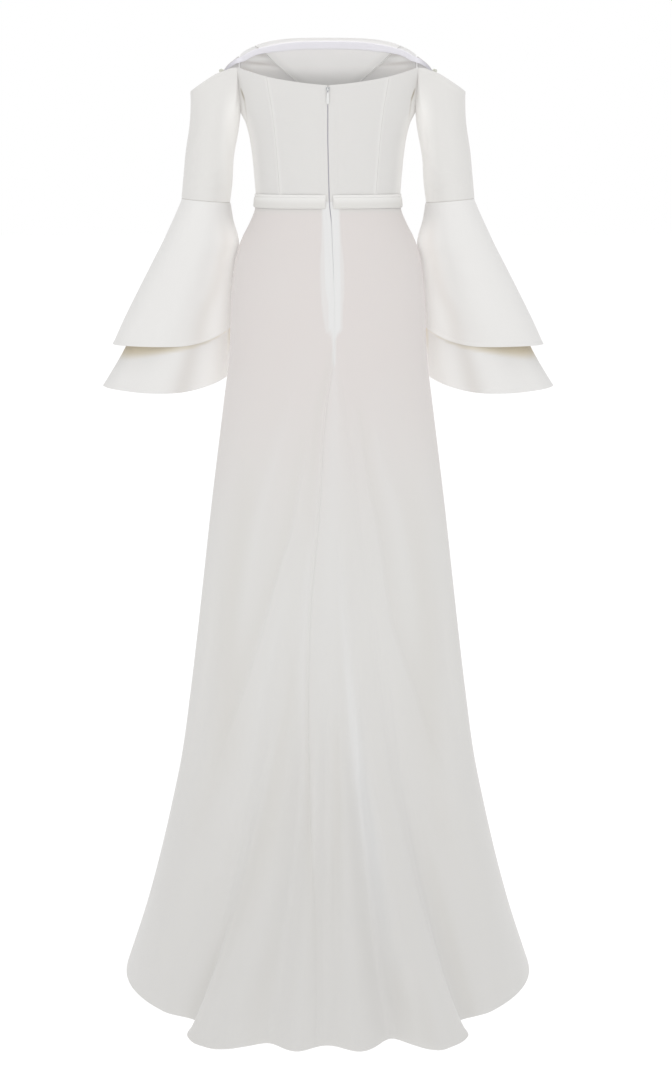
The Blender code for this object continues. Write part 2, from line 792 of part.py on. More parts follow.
def make_zip_tape():
    """Make the tape behind the slit, with its cross lines at those of the panels."""
    inset = CLOTH_WALL + TAPE_CLEARANCE
    rows = [bodice_height(BACK_NECK_HEIGHT, 0.0, step / BODICE_ROWS) for step in range(BODICE_ROWS)]
    rows[0] -= TAPE_TOP_DROP
    rows += [height for height in SKIRT_ROWS if height > ZIP_END] + [ZIP_END - TAPE_TAIL]

    def place(u, v):
        height = rows[round(v * (len(rows) - 1))]
        across = smooth_value(CENTRE_BACK, "height", "across", height)
        across += between(-TAPE_WIDTH / 2, TAPE_WIDTH / 2, u)
        return body_point(angle_at(across, height), height, -inset)

    cloth("zip_tape", 4, len(rows) - 1, place, TAPE_WALL, LILAC_TAPE)


def box_mesh(name, centre, size, bevel):
    """Mesh of a box with rounded edges."""
    box = bmesh.new()
    bmesh.ops.create_cube(box, size=1.0)
    bmesh.ops.scale(box, vec=size, verts=box.verts)
    bmesh.ops.translate(box, vec=centre, verts=box.verts)
    if bevel:
        bmesh.ops.bevel(box, geom=box.edges[:], offset=bevel, segments=2, profile=0.5, affect="EDGES")
    mesh = bpy.data.meshes.new(name)
    box.to_mesh(mesh)
    box.free()
    return mesh


def cutter(name, mesh):
    """Object that is cut out of another and isn't a piece of the gown."""
    made = bpy.data.objects.new(name, mesh)
    CUTTERS.objects.link(made)
    made.hide_render = True
    made.display_type = "WIRE"
    return made


def boolean(made, tool, operation):
    """Cut or join with a Boolean modifier."""
    modifier = made.modifiers.new(operation.lower(), "BOOLEAN")
    modifier.operation = operation
    modifier.solver = "EXACT"
    modifier.object = tool


def make_slider():
    """Make the zip's slider: a small body with a bail that the pull tab swings in."""
    width, depth, height = SLIDER_SIZE
    face = body_point(0.0, SLIDER_HEIGHT).y + SEAM_GAP
    body = box_mesh("zip_slider", (0, face + depth / 2, SLIDER_HEIGHT), SLIDER_SIZE, 0.0006)
    slider = new_object("zip_slider", body, ZIP_METAL)

    axis_y = face + depth + BAIL_WINDOW / 2
    bail_depth = BAIL_ROOT + BAIL_WINDOW + BAIL_BAR
    bail_centre = (0, face + depth - BAIL_ROOT + bail_depth / 2, SLIDER_HEIGHT)
    bail_size = (BAIL_WIDTH, bail_depth, BAIL_LENGTH)
    boolean(slider, cutter("bail_block", box_mesh("bail_block", bail_centre, bail_size, 0.0)), "UNION")
    window_size = (BAIL_WIDTH * 2, BAIL_WINDOW, BAIL_LENGTH - 2 * BAIL_BAR)
    window = box_mesh("bail_window", (0, axis_y, SLIDER_HEIGHT), window_size, 0.0)
    boolean(slider, cutter("bail_window", window), "DIFFERENCE")
    return Vector((0, axis_y, SLIDER_HEIGHT))


def make_pull(axis):
    """Make the pull tab, whose bar turns in the slider's bail. Its origin is on the hinge axis."""
    outline = bpy.data.curves.new("zip_pull", "CURVE")
    outline.dimensions = "2D"
    outline.fill_mode = "BOTH"
    outline.extrude = PULL_THICKNESS / 2
    bar = PULL_THICKNESS / 2
    neck = BAIL_WIDTH / 2 + SEAM_GAP
    half = PULL_WIDTH / 2
    tip = PULL_LENGTH - half
    sides = 8
    outer = [(-neck - bar * 2, bar), (neck + bar * 2, bar), (neck + bar * 2, -PULL_WINDOW)]
    for step in range(sides + 1):
        turn = math.pi * step / sides
        outer.append((half * math.cos(turn), -tip - half * math.sin(turn)))
    outer.append((-neck - bar * 2, -PULL_WINDOW))
    hole = [(-neck, -bar), (-neck, -PULL_WINDOW), (neck, -PULL_WINDOW), (neck, -bar)]
    for points in (outer, hole):
        spline = outline.splines.new("POLY")
        spline.points.add(len(points) - 1)
        for place, (x, y) in zip(spline.points, points):
            place.co = (x, y, 0, 1)
        spline.use_cyclic_u = True
    shape = bpy.data.objects.new("zip_pull_outline", outline)
    CUTTERS.objects.link(shape)
    evaluated = shape.evaluated_get(bpy.context.evaluated_depsgraph_get())
    mesh = bpy.data.meshes.new_from_object(evaluated)
    bpy.data.objects.remove(shape)
    shell = bmesh.new()
    shell.from_mesh(mesh)
    bmesh.ops.remove_doubles(shell, verts=shell.verts, dist=0.00001)
    bmesh.ops.recalc_face_normals(shell, faces=shell.faces)
    shell.to_mesh(mesh)
    shell.free()
    mesh.transform(Matrix.Rotation(QUARTER, 4, "X"))
    pull = new_object("zip_pull", mesh, ZIP_METAL)
    pull.location = axis


def make_buttons():
    """Make the small button at each end of the front neckline."""
    edge = rim_point(BUTTON_ACROSS, True)
    for side in (1, -1):
        name = side_name("shoulder_button", side)
        ball = bmesh.new()
        bmesh.ops.create_uvsphere(ball, u_segments=10, v_segments=6, radius=BUTTON_HALF_WIDTH)
        flat = BUTTON_HALF_HEIGHT / BUTTON_HALF_WIDTH
        bmesh.ops.scale(ball, vec=(1, flat, flat), verts=ball.verts)
        mesh = bpy.data.meshes.new(name)
        ball.to_mesh(mesh)
        ball.free()
        mesh.shade_smooth()
        made = new_object(name, mesh, PEARL)
        made.location = (
            (edge.x + BUTTON_ASIDE) * side, edge.y - BUTTON_IN_FRONT, edge.z + BUTTON_RISE
        )


def new_collection(name):
    """Make a collection in the scene."""
    made = bpy.data.collections.new(name)
    bpy.context.scene.collection.children.link(made)
    return made


def main():
    """Make every piece of the gown."""
    make_bodice()
    make_neckline_tape()
    make_sleeves()
    make_flounces()
    make_belt()
    make_skirt()
    make_zip_tape()
    make_pull(make_slider())
    make_buttons()


for old in list(bpy.data.objects):
    bpy.data.objects.remove(old)
GOWN = new_collection("evening_gown")
CUTTERS = new_collection("cutters")
main()
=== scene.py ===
"""The looks of an off-the-shoulder evening gown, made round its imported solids.

The gown hangs as if worn, from an origin in the middle of the waist: +Z is up, the back of the gown
faces +Y and the wearer's left is +X. Lengths are metres. An angle round the body starts at 0 at the
centre back and grows towards the wearer's left, so 90 degrees is the left side and 180 degrees the
centre front. Angles are radians unless a name says degrees.
"""

import logging
import math
from collections.abc import Callable, Sequence
from dataclasses import dataclass, field
from enum import Enum
from functools import cache, partial
from typing import NamedTuple

import bmesh
import bpy
import numpy as np
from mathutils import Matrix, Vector

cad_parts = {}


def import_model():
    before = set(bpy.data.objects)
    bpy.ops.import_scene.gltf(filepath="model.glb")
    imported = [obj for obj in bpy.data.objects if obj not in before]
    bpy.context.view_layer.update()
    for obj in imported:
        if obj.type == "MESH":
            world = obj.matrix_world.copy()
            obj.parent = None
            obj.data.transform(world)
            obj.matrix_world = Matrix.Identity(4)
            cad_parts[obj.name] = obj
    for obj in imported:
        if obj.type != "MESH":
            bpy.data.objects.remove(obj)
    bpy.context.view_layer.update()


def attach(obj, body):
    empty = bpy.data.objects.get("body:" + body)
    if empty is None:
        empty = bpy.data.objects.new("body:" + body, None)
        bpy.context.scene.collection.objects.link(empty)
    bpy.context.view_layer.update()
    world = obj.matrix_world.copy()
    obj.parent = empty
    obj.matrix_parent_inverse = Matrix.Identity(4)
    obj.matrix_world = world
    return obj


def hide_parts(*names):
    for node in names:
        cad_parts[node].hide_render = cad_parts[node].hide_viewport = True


Array = np.ndarray
Place = Callable[[Array, Array], Array]
Line = tuple[Array, Array]
Edge = Callable[[Array], Line]
Relief = Callable[[Array, Array, Array, Array], Array]
Tinting = Callable[[Array], Array]
Socket = bpy.types.NodeSocket
Span = tuple[float, float]
Triple = tuple[float, float, float]
Lines = tuple[float, ...]
Steps = tuple[int, int]

LOG = logging.getLogger("evening_gown")

QUARTER = math.pi / 2
FULL_TURN = math.pi * 2
SEAM_GAP = 0.0003
RADIUS_STEP = 0.05
RIM_ANGLE = math.radians(60)


class Side(Enum):
    """A side of the wearer. Its value is the sign of X there."""

    LEFT = 1
    RIGHT = -1

    @property
    def label(self) -> str:
        """Ending of a piece's name on this side."""
        return self.name.lower()


class Body(Enum):
    """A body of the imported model."""

    GOWN = "gown"
    PULL_TAB = "pull_tab"


class Slot(Enum):
    """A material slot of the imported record."""

    BODICE = "bodice_crepe"
    SKIRT = "skirt_crepe"
    TAPE = "satin_tape"
    ZIP = "zip_lacquer"
    PEARL = "pearl"


class Curve:
    """A smooth curve through points, with no overshoot."""

    def __init__(self, *points: Span) -> None:
        """Keep the points in order and find the slope at each.

        Args:
            points: Where each point lies, and the value there.
        """
        self.at, self.values = np.array(sorted(points), float).T
        steps = np.diff(self.values) / np.diff(self.at)
        before, after = steps[:-1], steps[1:]
        same_way = before * after > 0
        total = np.where(same_way, before + after, 1.0)
        inner = np.where(same_way, 2 * before * after / total, 0.0)
        self.slopes = np.concatenate([steps[:1], inner, steps[-1:]])

    def __call__(self, at: Array | float) -> Array:
        """Read the curve.

        Args:
            at: One place or many.

        Returns:
            The value at each place. Beyond the first and last point it stays level.
        """
        place = np.clip(at, self.at[0], self.at[-1])
        index = np.clip(np.searchsorted(self.at, place, side="right") - 1, 0, len(self.at) - 2)
        width = self.at[index + 1] - self.at[index]
        s = (place - self.at[index]) / width
        start, end = self.values[index], self.values[index + 1]
        rise = s * s * (3 - 2 * s)
        first = s * (1 - s) * (1 - s) * width * self.slopes[index]
        last = s * s * (s - 1) * width * self.slopes[index + 1]
        return start + (end - start) * rise + first + last


Columns = dict[str, Curve]


def curves(names: str, *rows: Sequence[float]) -> Columns:
    """Make a table readable between its rows.

    Args:
        names: Names of its columns after the first, which says where each row lies.
        rows: Its rows.

    Returns:
        A curve for each name.
    """
    return {
        name: Curve(*((row[0], row[column]) for row in rows))
        for column, name in enumerate(names.split(), 1)
    }


def band(*rows: Sequence[float]) -> Columns:
    """Make a band down the skirt. At a height, it has the angle of its middle, its width on each
    side of that in degrees, and how far it stands out or how strong it is."""
    return curves("degrees before after out", *rows)


def table(kind: type, *rows: Sequence[float]) -> tuple:
    """Make each row one of a kind."""
    return tuple(kind(*row) for row in rows)


class Rise(NamedTuple):
    """How much higher a flounce's hem is towards the body and at its outer side."""

    inner: float
    outer: float


class Fold(NamedTuple):
    """Soft fold of a flounce: its angle round the arm at the elbow and the hem, and its size."""

    top_degrees: float
    hem_degrees: float
    width_degrees: float
    out: float


class Dent(NamedTuple):
    """A soft crease of a tube: its middle as shares of the way round and down, how far it runs and
    spreads, its turn from level, and how far it stands out."""

    around: float
    down: float
    reach: float
    width: float
    turn_degrees: float
    out: float


class Crease(NamedTuple):
    """A shallow crease of the bodice: its middle, how far it runs and spreads, its slope, and how
    far it stands out or how strong it is."""

    across: float
    height: float
    reach: float
    width: float
    slope: float
    out: float


class Cut(NamedTuple):
    """Flat cut of a cloth piece: the width and length of the cloth it takes, and its own area."""

    width: float
    length: float
    area: float


class Bead(NamedTuple):
    """Half of the width of a hard piece at a distance down it."""

    down: float
    half_width: float


# Outline of the gown at a height: half of its width, its reach back and forward, where along Y it
# is widest, and how square it is (2 is an ellipse).
LEVELS = curves(
    "half_width back front widest square",
    (0.285, 0.184, 0.098, 0.116, 0, 2), (0.246, 0.179, 0.098, 0.127, 0, 2),
    (0.222, 0.172, 0.099, 0.133, 0, 2), (0.19, 0.16, 0.1, 0.137, 0, 2),
    (0.165, 0.1505, 0.101, 0.138, 0, 2), (0.149, 0.1465, 0.1015, 0.137, 0, 2),
    (0.127, 0.1362, 0.101, 0.132, 0, 2), (0.1, 0.1298, 0.099, 0.124, 0, 2),
    (0.068, 0.1255, 0.095, 0.112, 0, 2), (0.034, 0.1225, 0.0905, 0.1, 0, 2),
    (0, 0.1205, 0.088, 0.092, 0, 2), (-0.013, 0.1225, 0.0895, 0.093, 0, 2),
    (-0.034, 0.1305, 0.096, 0.096, 0, 2), (-0.067, 0.147, 0.106, 0.1, 0, 2),
    (-0.102, 0.157, 0.1165, 0.104, 0.005, 2), (-0.166, 0.1634, 0.127, 0.106, 0.015, 2),
    (-0.25, 0.1662, 0.127, 0.107, 0.02, 2), (-0.333, 0.1756, 0.125, 0.109, 0.03, 2),
    (-0.5, 0.196, 0.133, 0.114, 0.055, 2), (-0.667, 0.2145, 0.158, 0.124, 0.08, 2),
    (-0.83, 0.2326, 0.212, 0.146, 0.11, 2), (-0.914, 0.243, 0.258, 0.16, 0.13, 2),
    (-0.994, 0.258, 0.32, 0.178, 0.15, 2.05), (-1.073, 0.275, 0.405, 0.2, 0.175, 2.1),
    (-1.152, 0.295, 0.525, 0.226, 0.19, 2.15), (-1.24, 0.3222, 0.69, 0.26, 0.2, 2.2),
)

# How far the hem stands out of the plain outline, by the angle in degrees.
HEM_WAVES = Curve(
    (-180, 0), (-150, 0.006), (-122, -0.006), (-96, 0.002), (-75, 0.0135), (-51, -0.002),
    (-42.5, -0.02), (-34, 0.033), (-28, 0.049), (-24.5, 0.053), (-22, 0.04), (-17.5, -0.028),
    (-7, 0.014), (0, -0.016), (6.5, 0.013), (14.5, -0.012), (19.1, 0.017), (21.6, 0.036),
    (25, 0.0475), (29, 0.046), (34, 0.031), (42.5, -0.022), (51, -0.002), (74, 0.0135),
    (96, 0.003), (122, -0.006), (150, 0.006), (180, 0),
)

# How far from the middle the seams run at a height, and how wide the zip's slit stands open.
BACK_SEAM = Curve((0.2035, 0.1005), (0.131, 0.089), (0, 0.078))
FRONT_SEAM = Curve(
    (0.258, 0.125), (0.248, 0.11), (0.238, 0.0995), (0.228, 0.089), (0.215, 0.0738),
    (0.2025, 0.0575), (0.19, 0.048), (0.16, 0.044), (0, 0.04),
)
ZIP_OPENING = Curve(
    (0.2, 0.0012), (-0.02, 0.0013), (-0.032, 0.0007), (-0.04, 0.0004), (-0.07, 0.0004),
    (-0.115, 0.0003), (-0.135, 0.0001), (-1.24, 0.0001),
)
# Where the zip's tape shows through the skirt at a height, and the lighter middle of it.
ZIP_STRIP = curves(
    "left right middle_left middle_right",
    (-0.013, 0.01, -0.0195, 0.0085, -0.018), (-0.066, 0.0105, -0.0222, 0.006, -0.0195),
    (-0.101, 0.0125, -0.0261, 0.0052, -0.0204), (-0.14, 0.0117, -0.0269, 0.0035, -0.0212),
    (-0.173, 0.0092, -0.0245, -0.0015, -0.0212), (-0.205, 0.0045, -0.024, -0.002, -0.0205),
    (-0.211, 0.003, -0.0225, -0.006, -0.018), (-0.217, -0.0035, -0.0165, -0.0085, -0.0135),
    (-0.225, -0.0065, -0.014, -0.009, -0.0118), (-0.26, -0.0072, -0.0138, -0.0098, -0.0112),
    (-0.278, -0.01, -0.0108, -0.0102, -0.0106),
)
# How far the shadow of a hem reaches down the tier below it, by the share inwards.
HEM_SHADOW = curves(
    "reach strength",
    (0, 0.03, 1), (0.15, 0.026, 1), (0.3, 0.02, 0.95), (0.45, 0.0135, 0.8),
    (0.6, 0.0085, 0.6), (0.8, 0.005, 0.45), (1, 0.006, 0.5),
)
# Where the painted shade of a soft valley runs down each flounce, as a share from its outer side.
UPPER_VALLEY = Curve(
    (-0.243, 0.72), (-0.218, 0.71), (-0.184, 0.73), (-0.15, 0.79), (-0.103, 0.83), (-0.05, 0.84),
)
LOWER_VALLEY = Curve((-0.324, 0.64), (-0.24, 0.645), (-0.2, 0.65))
# Where the painted shade of the small fold at the underarm runs at a height, and how dark it is.
UNDERARM_NOTCH = curves(
    "across dark",
    (0.13, 0.1338, 0), (0.15, 0.1362, 0.3), (0.163, 0.1378, 0.35), (0.169, 0.139, 0.8),
    (0.176, 0.1413, 1), (0.182, 0.1432, 0.6), (0.187, 0.145, 0),
)
# How far below the front neckline its tape starts this far from the middle, and its width.
NECK_TAPE_LINES = curves(
    "drop width",
    (0, 0.006, 0.0125), (0.08, 0.0062, 0.0122), (0.1, 0.0064, 0.0105),
    (0.125, 0.0055, 0.0092), (0.15, 0.0026, 0.0085), (0.176, 0.0012, 0.0055),
)
CENTRE_BACK = Curve(
    (0.1, 0), (0, -0.0026), (-0.036, -0.006), (-0.21, -0.0115), (-0.264, -0.0092),
    (-0.318, -0.001), (-0.388, 0.0062), (-0.476, 0.0113), (-0.548, 0.0165), (-0.67, 0.0278),
    (-0.824, 0.0322), (-0.958, 0.029), (-1.08, 0.021), (-1.15, 0.018), (-1.24, 0.017),
)

# Height of a sleeve's free edge behind and in front, this far from the middle.
SLEEVE_RIM = curves(
    "back front",
    (0.1495, 0.219, 0.2425), (0.1605, 0.2178, 0.234), (0.1692, 0.2145, 0.227),
    (0.1757, 0.2122, 0.219), (0.181, 0.2105, 0.2105), (0.2037, 0.1972, 0.194),
    (0.2292, 0.1802, 0.1802),
)
# A tube of the arm at a height: its inner and outer edge seen from behind, the middle of its depth
# and half of its depth.
RING = "inner outer middle half_depth"
SLEEVE_RINGS = curves(
    RING,
    (0, 0.1646, 0.247, -0.012, 0.05), (0.0345, 0.1604, 0.2436, -0.011, 0.051),
    (0.1017, 0.158, 0.2369, -0.01, 0.053), (0.1352, 0.1562, 0.233, -0.009, 0.055),
    (0.182, 0.149, 0.2295, -0.008, 0.057),
)
UPPER_FLOUNCE_RINGS = curves(
    RING,
    (-0.2448, 0.16, 0.369, -0.056, 0.076), (-0.2, 0.1585, 0.348, -0.05, 0.072),
    (-0.157, 0.157, 0.326, -0.044, 0.067), (-0.1, 0.155, 0.296, -0.031, 0.061),
    (-0.073, 0.1503, 0.2815, -0.023, 0.0575), (-0.03, 0.1602, 0.2605, -0.015, 0.053),
    (0, 0.1646, 0.247, -0.012, 0.05),
)
LOWER_FLOUNCE_RINGS = curves(
    RING,
    (-0.324, 0.169, 0.3915, -0.062, 0.078), (-0.245, 0.166, 0.345, -0.056, 0.069),
    (-0.157, 0.1615, 0.308, -0.043, 0.06), (-0.073, 0.1562, 0.273, -0.023, 0.053),
    (-0.03, 0.1642, 0.2555, -0.015, 0.05), (0, 0.167, 0.2449, -0.012, 0.0479),
)
UPPER_HEM_RISE = Rise(0.037, 0.0)
LOWER_HEM_RISE = Rise(0.0275, 0.0075)
UPPER_FOLDS = table(
    Fold, (20, 34, 12, 0.0014), (50, 75, 18, -0.0032), (76, 102, 18, 0.003), (130, 144, 18, 0.002),
    (215, 225, 20, 0.004), (262, 268, 18, -0.004), (300, 310, 18, 0.004),
)
LOWER_FOLDS = table(
    Fold, (52, 64, 16, -0.0024), (80, 92, 18, 0.003), (120, 126, 16, -0.0035),
    (210, 214, 20, -0.0035), (250, 254, 18, 0.004), (290, 296, 18, -0.0035),
)

BACK_CREASES = table(
    Crease, (0.055, 0.13, 0.013, 0.0035, 0.05, -0.0006),
    (-0.063, 0.13, 0.014, 0.0035, -0.04, -0.0006), (0.064, 0.1, 0.012, 0.004, 0.15, -0.0005),
    (-0.05, 0.094, 0.012, 0.004, -0.12, -0.0005), (0.03, 0.024, 0.022, 0.0045, 0.1, -0.0007),
    (-0.034, 0.027, 0.02, 0.0045, -0.08, -0.0006), (0.1, 0.04, 0.018, 0.006, 0.35, 0.0009),
    (-0.103, 0.047, 0.018, 0.006, -0.3, 0.0009),
)
# Painted streaks inside the front's sides: a light one, then shaded ones; the last value is how
# strong each is.
LIGHT_STREAKS = table(Crease, (0.123, 0.236, 0.024, 0.0026, -0.04, 1))
DARK_STREAKS = table(
    Crease, (0.1225, 0.229, 0.03, 0.0024, 0.075, 0.9), (0.113, 0.243, 0.014, 0.003, 0.1, 0.5),
    (0.14, 0.218, 0.02, 0.003, 0.2, 0.7),
)
FRONT_CREASES = table(
    Crease, (0.108, 0.229, 0.03, 0.003, 0.16, 0.0009), (0.101, 0.219, 0.026, 0.0026, 0.1, -0.0008),
    (0.112, 0.209, 0.022, 0.003, 0.05, 0.0008), (-0.106, 0.231, 0.03, 0.003, -0.18, 0.0009),
    (-0.1, 0.221, 0.025, 0.0026, -0.09, -0.0008), (-0.114, 0.21, 0.023, 0.003, -0.06, 0.0008),
    (0.104, 0.12, 0.026, 0.006, -0.45, 0.0011), (-0.1, 0.114, 0.024, 0.006, 0.5, 0.001),
    (0.07, 0.048, 0.024, 0.0055, 0.12, -0.0009), (-0.076, 0.052, 0.026, 0.0055, -0.1, -0.0009),
    (0.012, 0.03, 0.03, 0.005, 0.02, 0.0006),
)
SLEEVE_DENTS = table(
    Dent, (0.3, 0.8, 0.03, 0.006, 24, 0.001), (0.21, 0.9, 0.024, 0.0045, -10, -0.001),
    (0.13, 0.62, 0.022, 0.006, 38, -0.0009), (0.36, 0.46, 0.04, 0.011, 62, 0.0011),
    (0.72, 0.86, 0.028, 0.0055, -22, 0.0012), (0.8, 0.78, 0.026, 0.005, -8, -0.0012),
    (0.86, 0.66, 0.022, 0.0055, 14, 0.001), (0.64, 0.4, 0.042, 0.012, 74, 0.0012),
)

BACK_FOLDS = (
    band(
        (-0.24, -3.9, 2, 0.6, 0), (-0.264, -3.2, 2.5, 0.7, 0.0008), (-0.318, 0.2, 4, 0.8, 0.0018),
        (-0.388, 2.2, 6, 0.8, 0.0022), (-0.476, 3.5, 8, 0.9, 0.0022), (-0.548, 5, 9, 0.9, 0.002),
        (-0.67, 7.7, 9, 0.9, 0.0017), (-0.824, 8.2, 8, 0.9, 0.0015), (-0.958, 6.7, 7, 1, 0.0011),
        (-1.04, 4.7, 6, 1.2, 0.0007), (-1.114, 3, 5, 1.5, 0),
    ),
    band(
        (-0.25, -4.2, 0.8, 2, 0), (-0.298, -6.2, 0.9, 3, 0.0009), (-0.37, -9, 1, 4, 0.0015),
        (-0.458, -12, 1.1, 5, 0.0017), (-0.548, -14.5, 1.2, 6, 0.0015),
        (-0.616, -17.8, 1.4, 7, 0.0009), (-0.7, -20.5, 1.6, 7, 0),
    ),
    band(
        (-0.33, -15, 1.2, 3, 0), (-0.356, -16.2, 1.2, 4, 0.0008), (-0.458, -19.5, 1.2, 5, 0.002),
        (-0.548, -24, 1.3, 6, 0.0025), (-0.688, -28, 1.4, 7, 0.0028),
        (-0.744, -32.5, 1.5, 8, 0.0027), (-0.828, -39.5, 1.6, 9, 0.0024),
        (-0.93, -48.5, 2.5, 8, 0.0015), (-1, -52, 3, 8, 0),
    ),
    band(
        (-0.35, 8, 3, 1.2, 0), (-0.424, 11.2, 4, 1.2, 0.0012), (-0.476, 13.8, 4.5, 1.2, 0.0019),
        (-0.548, 17.2, 5.5, 1.3, 0.0025), (-0.6, 22, 6, 1.3, 0.0027),
        (-0.684, 27.5, 7, 1.4, 0.0029), (-0.818, 38, 9, 1.6, 0.0025),
        (-0.892, 45.8, 9, 2.2, 0.0018), (-0.96, 49.5, 8, 3, 0),
    ),
    band(
        (-0.29, 20, 4, 5, 0), (-0.336, 22.2, 4, 5, 0.0012), (-0.424, 29.5, 5, 5, 0.0018),
        (-0.532, 37.2, 5, 5, 0.002), (-0.656, 41.5, 5, 5, 0.0016), (-0.76, 44, 5, 5, 0),
    ),
    band(
        (-0.3, -24, 4, 4, 0), (-0.352, -26, 5, 4, 0.0012), (-0.424, -28, 5, 4, 0.0018),
        (-0.514, -36.5, 5, 5, 0.002), (-0.62, -41.5, 5, 5, 0.0016), (-0.76, -44, 5, 5, 0),
    ),
    band(
        (-0.52, 6.4, 0.8, 1.2, 0), (-0.6, 8.4, 0.9, 1.6, 0.0009), (-0.69, 10.2, 1, 1.8, 0.0014),
        (-0.8, 10.4, 1, 1.8, 0.0013), (-0.93, 9, 1, 1.8, 0.0009), (-1.04, 6.8, 1.2, 2, 0),
    ),
    band(
        (-0.62, 17, 3, 3, 0), (-0.684, 19.2, 3, 3, 0.001), (-0.802, 24.8, 2.6, 3.4, 0.0018),
        (-0.942, 30, 2.2, 3.6, 0.002), (-1.01, 32, 2.2, 4, 0.001), (-1.06, 33.5, 3, 4, 0),
    ),
    band(
        (-0.82, 16.5, 4, 1.6, 0), (-0.856, 18.2, 5, 1.6, -0.0014), (-0.922, 23.8, 6, 1.7, -0.003),
        (-0.998, 27.6, 7, 1.9, -0.0048), (-1.064, 28.5, 6, 2.2, -0.0056),
        (-1.14, 32.8, 5, 2.4, -0.0046), (-1.218, 40, 3, 3, -0.003), (-1.24, 41, 3, 3, -0.0024),
    ),
    band(
        (-0.8, -3, 1.4, 1.6, 0), (-0.874, -3.4, 1.6, 1.8, -0.0018),
        (-0.938, -3.7, 1.8, 2, -0.0028), (-1.02, -3.2, 2.2, 2.2, -0.0026),
        (-1.09, -1.6, 2.6, 2.6, 0),
    ),
    band(
        (-0.52, -5.5, 2.5, 1.2, 0), (-0.58, -6.8, 3, 1.2, 0.0014), (-0.654, -8, 3.4, 1.2, 0.0024),
        (-0.824, -9.6, 3.6, 1.3, 0.0034), (-0.918, -12.2, 3.6, 1.6, 0.0034),
        (-0.988, -17, 3.2, 2, 0.0026), (-1.058, -19.8, 3, 2.6, 0.0014), (-1.12, -21, 3, 3, 0),
    ),
    band(
        (-0.64, -18.6, 1.2, 1.2, 0), (-0.688, -20.2, 1.2, 1.2, -0.001),
        (-0.778, -22.2, 1.3, 1.3, -0.0016), (-0.86, -24.6, 1.4, 1.4, -0.0017),
        (-0.94, -26.3, 1.6, 1.6, -0.0018), (-1.02, -26.4, 2, 2, 0),
    ),
    band(
        (-0.96, -33.5, 4, 4, 0), (-1.05, -36, 4, 4, -0.0022), (-1.09, -37.2, 3.6, 4, -0.0034),
        (-1.146, -39.4, 3, 4, -0.004), (-1.22, -41.6, 2.6, 3.5, -0.0034),
        (-1.24, -42, 2.6, 3.5, -0.0028),
    ),
    band((-0.88, 49, 5, 5, 0), (-0.97, 50.5, 6, 6, -0.0034), (-1.06, 53, 6, 6, 0)),
    band((-0.9, -42, 5, 5, 0), (-0.99, -43.5, 6, 6, -0.0034), (-1.07, -47, 6, 6, 0)),
    band((-1.15, -18, 3, 3, 0), (-1.195, -20.2, 3, 3.5, -0.003), (-1.24, -20.5, 3, 3.5, -0.001)),
    band((-1.16, -26, 2, 3, 0), (-1.222, -27, 2.2, 3, -0.0024), (-1.24, -27.5, 2.2, 3, -0.0016)),
    band((-1.1, 14, 3, 3, 0), (-1.18, 16, 3.5, 3.5, -0.0022), (-1.24, 17, 3, 3, -0.0012)),
    band(
        (-0.56, 64, 5, 5, 0), (-0.72, 60, 6, 6, -0.0022), (-0.9, 66, 7, 7, -0.003),
        (-1.1, 72, 8, 8, 0),
    ),
    band(
        (-0.6, -66, 5, 5, 0), (-0.76, -62, 6, 6, -0.0024), (-0.92, -67, 7, 7, -0.0028),
        (-1.1, -73, 8, 8, 0),
    ),
)
FRONT_FOLDS = (
    band(
        (-0.33, 178, 5, 6, 0), (-0.56, 176, 6, 8, 0.003), (-0.85, 173, 7, 9, 0.0055),
        (-1.24, 170, 8, 9, 0.007),
    ),
    band(
        (-0.42, 158, 4, 4, 0), (-0.7, 152, 4.5, 5.5, -0.0035), (-1, 147, 5, 6, -0.006),
        (-1.24, 145, 6, 6, -0.0065),
    ),
    band(
        (-0.5, 204, 4, 4, 0), (-0.74, 208, 5, 4.5, -0.0035), (-1, 212, 6, 5, -0.0055),
        (-1.24, 214, 6, 6, -0.006),
    ),
    band((-0.64, 124, 4, 6, 0), (-0.86, 121, 4, 7, 0.0045), (-1.24, 117, 5, 8, 0.008)),
    band((-0.6, 236, 6, 4, 0), (-0.84, 240, 7, 4, 0.0045), (-1.24, 245, 8, 5, 0.0085)),
    band((-0.76, 190, 3, 5, 0), (-0.96, 191, 3.5, 5, 0.003), (-1.24, 193, 4, 6, 0.005)),
)
